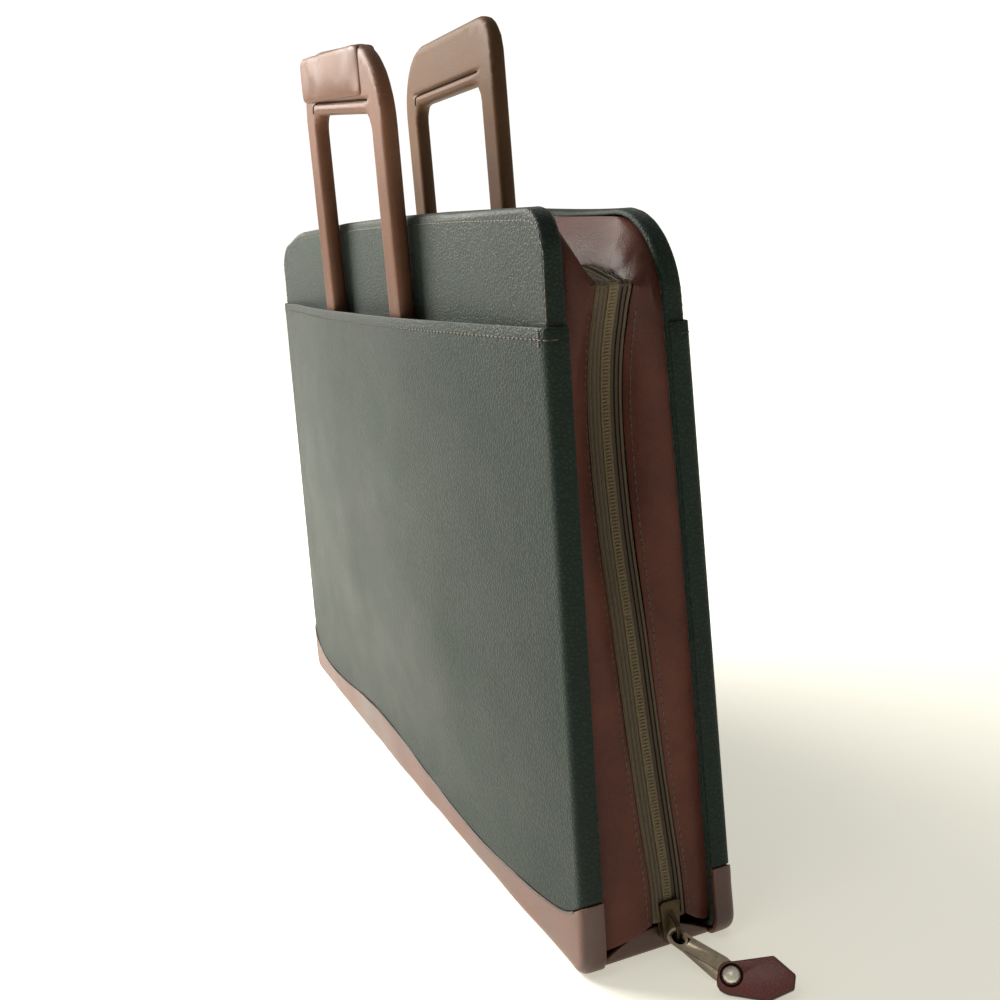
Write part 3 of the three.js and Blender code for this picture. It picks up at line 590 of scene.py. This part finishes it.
def walk(line, pitch_mm):
    stations = []
    ahead = 0.0
    for (here, facing), (there, next_facing) in zip(line, line[1:]):
        span = (there - here).length
        if span < 1e-6 or span > LONGEST_STEP:
            ahead = 0.0
            continue
        while ahead < span:
            share = ahead / span
            up = facing.lerp(next_facing, share).normalized()
            stations.append((here.lerp(there, share), (there - here).normalized(), up))
            ahead += pitch_mm * MM
        ahead -= span
    return stations


def beads(name, stations, size_mm, material, body, lift_mm=0.0):
    """One small rounded bead at each station: its length, width and height, in millimetres."""
    shape = bmesh.new()
    sizes = Matrix.Diagonal((*[size * MM for size in size_mm], 1))
    for place, along, up in stations:
        across = up.cross(along).normalized()
        turn = Matrix((along, across, up)).transposed().to_4x4()
        spot = Matrix.Translation(place + up * (lift_mm * MM))
        bmesh.ops.create_icosphere(shape, subdivisions=1, radius=0.5, matrix=spot @ turn @ sizes)
    return make_piece(name, shape, body, material)


def cord_on(name, lines, radius_mm, sunk_mm, material, body):
    """A round cord along each line, sunk into the surface by part of its radius."""
    curve = bpy.data.curves.new(name, "CURVE")
    curve.dimensions = "3D"
    curve.bevel_depth = radius_mm * MM
    curve.bevel_resolution = 2
    curve.use_fill_caps = True
    for line in lines:
        spline = curve.splines.new("POLY")
        spline.points.add(len(line) - 1)
        for point, (place, up) in zip(spline.points, line):
            point.co = (*(place - up * (sunk_mm * MM)), 1)
    drawn = bpy.data.objects.new(name + "_curve", curve)
    bpy.context.scene.collection.objects.link(drawn)
    bpy.context.view_layer.update()
    graph = bpy.context.evaluated_depsgraph_get()
    mesh = bpy.data.meshes.new_from_object(drawn.evaluated_get(graph))
    bpy.data.objects.remove(drawn)
    return piece_from(name, mesh, body, material)


def steps(first, last, step):
    count = max(round(abs(last - first) / step), 1)
    return [first + (last - first) * k / count for k in range(count + 1)]


# %% [markdown]
# Seams of the boards and the pockets
#
# The pocket's mouth is hemmed, and a second line of stitches holds the hem 4.5 mm below the edge.
# It goes round each end onto the side of the case, where a bar tack locks it. Another line runs
# 4.5 mm in from the board's top edge and round its corners. Each line of stitches is pulled down
# into the leather, so it lies in a shallow channel, and a dark cord sunk along the channel paints
# the shade in it.

# %% Stitch lines
SEAM_INSET = 4.5
STITCH_PITCH = 3.4
STITCH_SIZE = (2.7, 0.75, 0.6)
STITCH_LIFT = 0.12
EDGE_STITCH_LIFT = -0.05
CHANNEL_RADIUS = 0.6
CHANNEL_SUNK = 0.52
HEM_FROM = 25.5
HEM_SHORT_OF_FACE = 10.5
RIM_INSET = 6.2
MOUTH_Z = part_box("front_pocket")[1].z / MM
WIDE_OUT = 300
case_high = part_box("front_board")[1] / MM


def mm_ray(start, heading):
    x, y, z = start
    return Vector((x, y, z - drop_mm(x, y, z))) * MM, Vector(heading)


def hem_rays(hand):
    z = MOUTH_Z - SEAM_INSET
    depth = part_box("front_pocket" if hand < 0 else "back_pocket")
    outer = abs(depth[0].y if hand < 0 else depth[1].y) / MM - HEM_SHORT_OF_FACE
    left = [mm_ray((-WIDE_OUT, hand * y, z), (1, 0, 0)) for y in steps(HEM_FROM, outer, 1)]
    face = [mm_ray((x, hand * WIDE_OUT, z), (0, -hand, 0)) for x in steps(-207, 207, 2)]
    right = [mm_ray((WIDE_OUT, hand * y, z), (-1, 0, 0)) for y in steps(outer, HEM_FROM, 1)]
    return left, face, right


def board_rays(side, hand):
    seam_top = case_high.z - CROWN - SEAM_INSET
    end = case_high.x - RIM_INSET
    corner = BOARD_CORNER[side] - SEAM_INSET
    path = [(-end - 0.4, z) for z in steps(MOUTH_Z + 2, seam_top - corner, 2)]
    for angle in steps(180, 90, 7):
        turn = math.radians(angle)
        across = -end + corner + corner * math.cos(turn)
        path.append((across, seam_top - corner + corner * math.sin(turn)))
    for x in steps(-end + corner + 2, 0, 3):
        path.append((x, seam_top + CROWN * (1 - (x / end) ** 2)))
    path += [(-x, z) for x, z in reversed(path[:-1])]
    return [mm_ray((x, hand * WIDE_OUT, z), (0, -hand, 0)) for x, z in path]


for side, hand in (("front", -1), ("back", 1)):
    pocket_surface = surface_of(pockets[side])
    hem = [line_on(pocket_surface, rays) for rays in hem_rays(hand)]
    cord_on(side + "_hem_channel_shade", hem, CHANNEL_RADIUS, CHANNEL_SUNK, seam_channel_shade, "case")
    hem_stations = [station for line in hem for station in walk(line, STITCH_PITCH)]
    beads(side + "_hem_stitches", hem_stations, STITCH_SIZE, brown_thread, "case",
          lift_mm=STITCH_LIFT)
    rim = line_on(surface_of(boards[side]), board_rays(side, hand))
    cord_on(side + "_edge_channel_shade", [rim], CHANNEL_RADIUS, CHANNEL_SUNK, seam_channel_shade, "case")
    beads(side + "_edge_stitches", walk(rim, STITCH_PITCH), STITCH_SIZE, brown_thread, "case",
          lift_mm=EDGE_STITCH_LIFT)
    print(side, "stitches:", len(hem_stations))

# %% Bar tacks at the ends of the pocket mouths
TACK_SPAN = 7
TACK_ASIDE = 205.5
TACK_PITCH = 0.8
for side, hand in (("front", -1), ("back", 1)):
    pocket_surface = surface_of(pockets[side])
    tacks = []
    for end in (-1, 1):
        x = end * TACK_ASIDE
        rays = [mm_ray((x, hand * WIDE_OUT, z), (0, -hand, 0))
                for z in steps(MOUTH_Z - 1, MOUTH_Z - TACK_SPAN, 1)]
        for place, _, up in walk(line_on(pocket_surface, rays), TACK_PITCH):
            tacks.append((place, Vector((1, 0, 0)), up))
    beads(side + "_bar_tacks", tacks, (2.6, 0.6, 0.6), brown_thread, "case", lift_mm=STITCH_LIFT)
    print(side, "tack stitches:", len(tacks))

# %% [markdown]
# The seam over the trim
#
# The trim overlaps the pocket's foot along a waved edge. Shade falls in the gap between the two
# leathers, so a thin dark cord lies in it as painted shade. Its height is found by sliding a ray up
# the face until it leaves the trim.

# %% Trim seam
TRIM_LOWEST = 8.0
TRIM_HIGHEST = 36.0
HALVINGS = 12


def trim_edge(surface, x, hand):
    low, high = TRIM_LOWEST, TRIM_HIGHEST
    for _ in range(HALVINGS):
        z = (low + high) / 2
        place, _, _, _ = surface.ray_cast(*mm_ray((x, hand * WIDE_OUT, z), (0, -hand, 0)))
        if place is None or abs(place.y) < 0.02:
            high = z
        else:
            low = z
    return low


for side, hand in (("front", -1), ("back", 1)):
    surface = surface_of(trims[side])
    rays = [mm_ray((x, hand * WIDE_OUT, trim_edge(surface, x, hand) - 0.15), (0, -hand, 0))
            for x in steps(-208, 208, 3)]
    cord_on(side + "_trim_seam_shade", [line_on(surface, rays)], 0.6, 0.3, edge_paint_and_shade, "case")
    print(side, "trim seam points:", len(rays))

# %% [markdown]
# The zip
#
# The tape is sewn in two strips with woven cords along it, and a coil of nylon teeth runs between
# them. The coil's turns show as a row of small beads. They stand along the middle of the packed
# chain, which is found with rays from all round the case.

# %% Zip tape and chain
tapes = {}
# The back strip takes the darker tape, as painted shade.
for side, look in (("front", olive_tape), ("back", painted_shade_tape)):
    tapes[side] = fine_leather(side + "_zip_tape", "case", look, 0.2)
    rumple(tapes[side], 4.5, 1.4, (1, 0, 0.5), (1, 1, 0.6), near_top_corner)
    settle(tapes[side])
    print(side, "tape:", len(tapes[side].data.polygons), "faces")
chain = fine_leather("zip_chain", "case", olive_coil, 0.4)
settle(chain)

# %% The line along the zip
CASE_MIDDLE = Vector((0, 0, 150)) * MM
FAR = 0.4
NEAR = 0.03
FOOT_ANGLE = 31.5
ANGLE_STEP = 0.35
EVENED_OVER = 8


def zip_line():
    surface = surface_of(chain)
    line = []
    for angle in steps(-FOOT_ANGLE, 180 + FOOT_ANGLE, ANGLE_STEP):
        turn = math.radians(angle)
        outward = Vector((math.cos(turn), 0, math.sin(turn)))
        found = []
        for y in steps(-3, 7, 0.5):
            start = CASE_MIDDLE + outward * FAR + Vector((0, y * MM, 0))
            place, _, _, _ = surface.ray_cast(start, -outward, FAR)
            if place is not None:
                found.append(place)
        if found:
            line.append((sum(found, Vector()) / len(found), outward))
    sideways = [place.y for place, _ in line]
    for k, (place, _) in enumerate(line):
        neighbours = sideways[max(k - EVENED_OVER, 0):k + EVENED_OVER + 1]
        place.y = sum(neighbours) / len(neighbours)
    return line


def beside(surface, line, aside_mm):
    """The line that runs aside of the zip's middle, on another piece."""
    aside = Vector((0, aside_mm * MM, 0))
    rays = [(place + outward * NEAR + aside, -outward) for place, outward in line]
    return line_on(surface, rays, 2 * NEAR)


middle_line = zip_line()
teeth = walk(middle_line, 1.4)
beads("zip_teeth", teeth, (1.0, 3.0, 1.3), olive_coil, "case")
print("zip teeth:", len(teeth))

# %% Cords in the tape and stitches beside it
SEAM_ASIDE = 9.6
SEAM_TOP = 262
for side, hand in (("front", -1), ("back", 1)):
    tape_surface = surface_of(tapes[side])
    ribs = [beside(tape_surface, middle_line, hand * aside) for aside in (2.9, 4.7, 6.4)]
    seen_ribs = ribs if side == "front" else ribs[2:]
    cord_on(side + "_tape_cords", seen_ribs, 0.6, 0.25, olive_tape, "case")
    # The dips between the cords are darker cords: painted shade in the grooves.
    dips = [beside(tape_surface, middle_line, hand * aside) for aside in (3.8, 5.6)]
    dip_shade_look = painted_shade_tape if side == "front" else painted_dark_shade
    cord_on(side + "_tape_dip_shade", dips, 0.4, 0.2, dip_shade_look, "case")
    gusset_surface = surface_of(gussets[side])
    seam = beside(gusset_surface, middle_line, hand * SEAM_ASIDE)
    seam = [spot for spot in seam if spot[0].z < SEAM_TOP * MM]
    # A dark cord along the stitch channel, as painted shade in it.
    cord_on(side + "_gusset_channel_shade", [seam], 0.5, 0.42, edge_paint_and_shade, "case")
    beads(side + "_gusset_stitches", walk(seam, 3.2), (2.3, 0.6, 0.5), brown_thread, "case",
          lift_mm=0.1)
    print(side, "tape cords:", len(seen_ribs), "and seam points:", len(seam))

# %% [markdown]
# Handles
#
# Each handle is a flat core with leather turned over it. Along the underside of the bar the core
# has a round finger roll, with the leather pressed in above it. The handle's copy is sliced
# finely there, and the points of both faces are moved out over the roll and in along the groove.
# The slant of the bar's underside is measured with two rays. The rear handle's near top corner is
# squarer than its other one.

# %% Handles
ROLL_HEIGHT = 5.4
ROLL_BULGE = 0.9
GROOVE_UP = 6.3
GROOVE_DEPTH = 2.0
GROOVE_WIDTH = 0.8
WINDOW_HALF = 49
FADE_MM = 5
HALF_THICKNESS = 4
UNDER_TOP = 60
BAR_HEIGHT = 31
CORNER_REACH = 36
SQUARE_RADIUS = 17
CORNER_MOVES_FROM = 20
HANDLE_CORNERS = (
    (32, BAR_HEIGHT - CORNER_REACH, CORNER_MOVES_FROM, CORNER_REACH + 1),
    (40, -9, 5, 12.5),
)
HANDLE_ARC_STEP = math.radians(22.5)
SLICE_ACROSS_MM = 3
SLICE_UP_MM = 5
SLICE_ROLL_MM = 0.6


def underside(surface, middle, high):
    found = []
    for aside in (-28, 28):
        start = Vector((middle.x + aside * MM, middle.y, high.z - UNDER_TOP * MM))
        found.append(surface.ray_cast(start, Vector((0, 0, 1)))[0])
    slant = (found[1].z - found[0].z) / (found[1].x - found[0].x)
    return lambda x: found[0].z + slant * (x - found[0].x)


def square_corner(shape, middle_x, under):
    """Moves the points of the near top corner out to a smaller arc."""
    aside, level, _, _ = HANDLE_CORNERS[0]
    full = CORNER_REACH
    inner = full - SQUARE_RADIUS
    for vertex in shape.verts:
        across = (vertex.co.x - middle_x) / MM
        up = (vertex.co.z - under(vertex.co.x)) / MM
        out = Vector((across - aside, up - level))
        if out.x < 0 or out.y < 0 or out.length < CORNER_MOVES_FROM:
            continue
        turn = math.atan2(out.y, out.x)
        steep = max(math.cos(turn), math.sin(turn))
        flat = min(math.cos(turn), math.sin(turn))
        edge = full / steep
        if edge * flat > inner:
            half = inner * (steep + flat)
            edge = half + math.sqrt(max(half * half - 2 * inner * inner + SQUARE_RADIUS ** 2, 0))
        grown = out * ((edge / full - 1) * ramp(out.length, CORNER_MOVES_FROM, full))
        vertex.co.x += grown.x * MM
        vertex.co.z += grown.y * MM


def handle(node, body, leather_look):
    shape = copy_of(node, flat=True)
    low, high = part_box(node)
    middle = (low + high) / 2
    surface = BVHTree.FromBMesh(shape)
    inside = Vector((middle.x, middle.y, high.z - UNDER_TOP * MM))
    legs = [surface.ray_cast(inside, Vector((way, 0, 0)))[0].x for way in (-1, 1)]
    middle.x = sum(legs) / 2
    under = underside(surface, middle, high)
    slice_up(shape, 0, low.x, high.x, SLICE_ACROSS_MM)
    slice_up(shape, 2, low.z, high.z, SLICE_UP_MM)
    levels = [under(low.x), under(high.x)]
    slice_up(shape, 2, min(levels) - 1 * MM, max(levels) + 9 * MM, SLICE_ROLL_MM)
    true_arcs(shape, middle.x, under, HANDLE_CORNERS, HANDLE_ARC_STEP)
    if node == "back_handle":
        square_corner(shape, middle.x, under)
    for vertex in shape.verts:
        aside = abs(vertex.co.x - middle.x) / MM
        up = (vertex.co.z - under(vertex.co.x)) / MM
        if aside > WINDOW_HALF or not -1 < up < 9:
            continue
        fade = min((WINDOW_HALF - aside) / FADE_MM, 1)
        round_up = (up - ROLL_HEIGHT / 2) / (ROLL_HEIGHT / 2)
        roll = ROLL_BULGE * math.sqrt(max(1 - round_up ** 2, 0))
        groove = GROOVE_DEPTH * math.exp(-((up - GROOVE_UP) / GROOVE_WIDTH) ** 2)
        reach = (vertex.co.y - middle.y) / (HALF_THICKNESS * MM)
        vertex.co.y += reach * (roll - groove) * fade * MM
    piece = make_piece(node + "_leather", shape, body, leather_look, node)
    path = []
    for angle in steps(90, 0, 15):
        turn = math.radians(angle)
        path.append((-43 - 4.4 * math.sin(turn), 0.8 + (GROOVE_UP - 0.8) * math.cos(turn)))
    path += [(x, GROOVE_UP) for x in steps(-40, 44, 3)]
    finished = surface_of(piece)
    creases = []
    for way in (-1, 1):
        rays = []
        for aside, up in path:
            x = middle.x + aside * MM
            start = Vector((x, middle.y + way * 0.05, under(x) + up * MM))
            rays.append((start, Vector((0, -way, 0))))
        creases.append(line_on(finished, rays))
    # A dark cord in the groove above the roll, as painted shade.
    cord_on(node + "_crease", creases, 0.8, 0.25, painted_dark_shade, body)
    return piece


for node, body, look in (
    ("front_handle", "front_grip", handle_brown),
    ("back_handle", "back_grip", rear_brown),
):
    piece = handle(node, body, look)
    print(node, "points:", len(piece.data.vertices))

# %% [markdown]
# The grip wrap
#
# The wrap is one sleeve of soft leather round the bar, so it is full in the middle and pulled in
# at its edges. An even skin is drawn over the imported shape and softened. It is then drawn in close
# round the bar, over the start of the bar's round corner, and puffed out between its edges.

# %% Grip wrap
WRAP_HALF_DEPTH = 5.0
WRAP_ABOVE_BAR = 1.0
WRAP_FAR_TUCK = 4.0
WRAP_NEAR_REACH = 11.0
WRAP_NARROWED = 0.1
WRAP_PUFF = 1.4
PUFFED_FROM = 0.6
wrap = make_piece("front_grip_wrap_leather", copy_of("front_grip_wrap"), "front_grip",
                  handle_brown, "front_grip_wrap")
skin = wrap.modifiers.new("even_skin", "REMESH")
skin.mode = "VOXEL"
skin.voxel_size = 0.8 * MM
soften = wrap.modifiers.new("softened", "SMOOTH")
soften.factor = 0.5
soften.iterations = 18
finish_modifiers(wrap)
wrap_low, wrap_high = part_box("front_grip_wrap")
wrap_middle = (wrap_low + wrap_high) / 2
wrap_half = (wrap_high - wrap_low) / 2
top_drop = (wrap_high.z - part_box("front_handle")[1].z) / MM - WRAP_ABOVE_BAR
wrap_span = 2 * wrap_half / MM
tight = (
    1 + (WRAP_NEAR_REACH - WRAP_FAR_TUCK) / wrap_span.x,
    WRAP_HALF_DEPTH / (wrap_half.y / MM),
    1 - top_drop / wrap_span.z,
)
print("wrap drawn to", [round(share, 2) for share in tight], "of its packed spans")
for vertex in wrap.data.vertices:
    offset = vertex.co - wrap_middle
    vertex.co.x = wrap_low.x + WRAP_FAR_TUCK * MM + (vertex.co.x - wrap_low.x) * tight[0]
    vertex.co.y = wrap_middle.y + offset.y * tight[1]
    past = max((vertex.co.x - wrap_high.x) / MM, 0)
    drop = (CORNER_REACH - math.sqrt(CORNER_REACH ** 2 - past ** 2)) * MM
    height_share = tight[2] - drop / (wrap_high.z - wrap_low.z)
    vertex.co.z = wrap_low.z + (vertex.co.z - wrap_low.z) * height_share
    vertex.co.y -= (vertex.co.y - wrap_middle.y) * WRAP_NARROWED * ramp(past, 5, 12)
    across = abs(offset.x) / wrap_half.x
    up = abs(offset.z) / wrap_half.z
    side_share = offset.y / wrap_half.y
    if abs(side_share) > PUFFED_FROM:
        fullness = max(1 - across ** 4, 0) * max(1 - up ** 2, 0)
        vertex.co.y += side_share * fullness * WRAP_PUFF * MM
rumple(wrap, 16, 0.7, (0, 1, 0), (1, 0, 1))
print("wrap faces:", len(wrap.data.polygons))

# %% [markdown]
# Slider and pull
#
# The slider is a small die-casting. The pull's frame is stamped, which leaves raised rims round
# its edge and its eye, so its front face is inset and pressed down. A domed rivet sits in a dark
# ring, which is painted shade round its foot, and its near-white colour is a painted highlight.
# The leather tab has painted edges.


# %% Slider and rivet
def metal_piece(node, body, material, edge_mm):
    piece = make_piece(node + "_finish", copy_of(node, flat=True), body, material, node)
    round_edges(piece, edge_mm, angle=math.radians(35))
    finish_modifiers(piece)
    return piece


slider = metal_piece("zip_slider", "case", antique_brass, 0.35)
rivet = metal_piece("pull_rivet", "pull", rivet_painted_highlight, 0.2)
print("slider faces:", len(slider.data.polygons), "rivet faces:", len(rivet.data.polygons))


def facing_up(shape):
    upward = [face for face in shape.faces if face.normal.z > 0.2]
    return max(upward, key=lambda face: face.calc_area()).normal.copy()


# %% Pull frame
pull_shape = copy_of("zip_pull", flat=True)
pull_facing = facing_up(pull_shape)
front_faces = [face for face in pull_shape.faces if face.normal.dot(pull_facing) > 0.99]
bmesh.ops.inset_region(pull_shape, faces=front_faces, thickness=0.9 * MM, depth=-0.45 * MM,
                       use_boundary=True, use_even_offset=True)
for face in pull_shape.faces:
    face.material_index = 0
for face in front_faces:
    face.material_index = 1
pull_frame = make_piece("zip_pull_finish", pull_shape, "pull", pale_gilt, "zip_pull")
pull_frame.data.materials.append(tarnished_gilt)
round_edges(pull_frame, 0.22, angle=math.radians(35))
finish_modifiers(pull_frame)
print("pull faces:", len(pull_frame.data.polygons))

# %% Leather tab with painted edges
tab_shape = copy_of("pull_tab", flat=True)
tab_facing = facing_up(tab_shape)
tab = make_piece("pull_tab_leather", tab_shape, "pull", tab_leather, "pull_tab")
tab.data.materials.append(edge_paint_and_shade)
round_edges(tab, 0.3, angle=math.radians(35))
finish_modifiers(tab)
for face in tab.data.polygons:
    face.material_index = 1 if abs(face.normal.dot(tab_facing)) < 0.9 else 0
tab_surface = surface_of(tab)
print("tab faces:", len(tab.data.polygons))

# %% Ring of painted shade round the rivet
RING_INNER = 3.7
RING_OUTER = 4.7
rivet_low, rivet_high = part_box("pull_rivet")
rivet_middle = (rivet_low + rivet_high) / 2
ring_side = tab_facing.cross(Vector((0, 0, 1))).normalized()
above_ring = rivet_middle + ring_side * (4.4 * MM) + tab_facing * (20 * MM)
tab_top = tab_surface.ray_cast(above_ring, -tab_facing)[0]
ring_height = (tab_top - rivet_middle).dot(tab_facing)
ring_foot = rivet_middle + tab_facing * ring_height
ring_shape = bmesh.new()
section = [(RING_INNER, -0.1), (RING_INNER, 0.25), (RING_OUTER - 0.3, 0.25), (RING_OUTER, -0.1)]
corners = []
for out, up in section:
    place = ring_foot + ring_side * (out * MM) + tab_facing * (up * MM)
    corners.append(ring_shape.verts.new(place))
edges = [ring_shape.edges.new((corners[k], corners[(k + 1) % 4])) for k in range(4)]
bmesh.ops.spin(ring_shape, geom=corners + edges, cent=ring_foot, axis=tab_facing,
               angle=2 * math.pi, steps=40, use_merge=True)
bmesh.ops.remove_doubles(ring_shape, verts=ring_shape.verts, dist=0.005 * MM)
bmesh.ops.recalc_face_normals(ring_shape, faces=ring_shape.faces)
make_piece("rivet_shade_ring", ring_shape, "pull", painted_dark_shade)
print("ring stands", round(ring_height / MM, 2), "mm above the rivet's middle")

# %% [markdown]
# Stage and light
#
# The case stands on a pale floor. A broad soft light from the front left makes the leather shine
# and leaves the zip end in shade. The surroundings are white where they are seen, but throw only
# a little light, and less from the zip's side.

# %% Stage
FLOOR_REACH = 12.0
NEAR_GLOW = 0.47
FAR_GLOW = 1.0

plaster, plaster_tree, plaster_shader, plaster_place = new_material("pale_plaster")
plaster_noise = add_node(plaster_tree, "ShaderNodeTexNoise", {
    "Vector": plaster_place, "Scale": 3.0,
})
plaster_mix = add_node(plaster_tree, "ShaderNodeMix", {
    "Factor": plaster_noise.outputs["Fac"], "A": colour("#efeee6"), "B": colour("#f8f7f0"),
}, data_type="RGBA")
plaster_tree.links.new(plaster_mix.outputs["Result"], plaster_shader.inputs["Base Color"])
from_middle = add_node(plaster_tree, "ShaderNodeVectorMath", {0: plaster_place}, operation="LENGTH")
# The floor glows, more far off than near the case: painted light that keeps it white and lightens
# the shadow.
floor_glow = add_node(plaster_tree, "ShaderNodeMapRange", {
    "Value": from_middle.outputs["Value"], "From Min": 0.6, "From Max": 2.4,
    "To Min": NEAR_GLOW, "To Max": FAR_GLOW,
}, interpolation_type="SMOOTHSTEP")
plaster_tree.links.new(floor_glow.outputs["Result"], plaster_shader.inputs["Emission Strength"])
set_shader(plaster_shader, Roughness=0.9, Emission_Color=colour("#fffcea"))

stage_shape = bmesh.new()
corner = stage_shape.verts.new((-FLOOR_REACH, FLOOR_REACH, 0))
other = stage_shape.verts.new((FLOOR_REACH, FLOOR_REACH, 0))
front_edge = stage_shape.edges.new((corner, other))
swept = bmesh.ops.extrude_edge_only(stage_shape, edges=[front_edge])
moved = [item for item in swept["geom"] if isinstance(item, bmesh.types.BMVert)]
bmesh.ops.translate(stage_shape, verts=moved, vec=(0, -2 * FLOOR_REACH, 0))
stage_mesh = bpy.data.meshes.new("floor")
stage_shape.to_mesh(stage_mesh)
stage_shape.free()
stage_mesh.materials.append(plaster)
floor = bpy.data.objects.new("floor", stage_mesh)
bpy.context.scene.collection.objects.link(floor)
print("floor reaches", FLOOR_REACH, "m each way")

# %% Surroundings
SEEN_STRENGTH = 1.05
LIT_SIDE = 0.42
SHADE_SIDE = 0.02
GLOSS_STRENGTH = 0.3

world = bpy.data.worlds.new("studio")
bpy.context.scene.world = world
world.use_nodes = True
world_tree = world.node_tree
sky_place = add_node(world_tree, "ShaderNodeTexCoord").outputs["Generated"]
towards_light = add_node(world_tree, "ShaderNodeVectorMath", {
    0: sky_place, 1: (-0.75, -0.35, 0.55),
}, operation="DOT_PRODUCT")
glow = add_node(world_tree, "ShaderNodeMapRange", {
    "Value": towards_light.outputs["Value"], "From Min": -0.6, "From Max": 0.9,
    "To Min": SHADE_SIDE, "To Max": LIT_SIDE,
})
ray = add_node(world_tree, "ShaderNodeLightPath")
thrown = add_node(world_tree, "ShaderNodeMix", {
    "Factor": ray.outputs["Is Glossy Ray"], "A": glow.outputs["Result"], "B": GLOSS_STRENGTH,
})
strength = add_node(world_tree, "ShaderNodeMix", {
    "Factor": ray.outputs["Is Camera Ray"], "A": thrown.outputs["Result"], "B": SEEN_STRENGTH,
})
background = world_tree.nodes["Background"]
background.inputs["Color"].default_value = colour("#fffefb")
world_tree.links.new(strength.outputs["Result"], background.inputs["Strength"])
print("surroundings give", SHADE_SIDE, "to", LIT_SIDE)


# %% Lights
def soft_light(name, place, aim, size, power):
    lamp = bpy.data.lights.new(name, "AREA")
    lamp.color = colour("#fffaf2")[:3]
    lamp.size = size
    lamp.energy = power
    light = bpy.data.objects.new(name, lamp)
    bpy.context.scene.collection.objects.link(light)
    light.location = place
    light.rotation_euler = (Vector(aim) - Vector(place)).to_track_quat("-Z", "Y").to_euler()


soft_light("key_light", (-1.05, -0.78, 0.98), (0, 0, 0.15), 0.95, 46)
soft_light("glint_light", (0.42, -0.55, 1.25), (0.2, 0, 0.1), 0.4, 0.9)
bpy.context.scene.view_settings.view_transform = "Standard"
print("lamps:", len(bpy.data.lights))
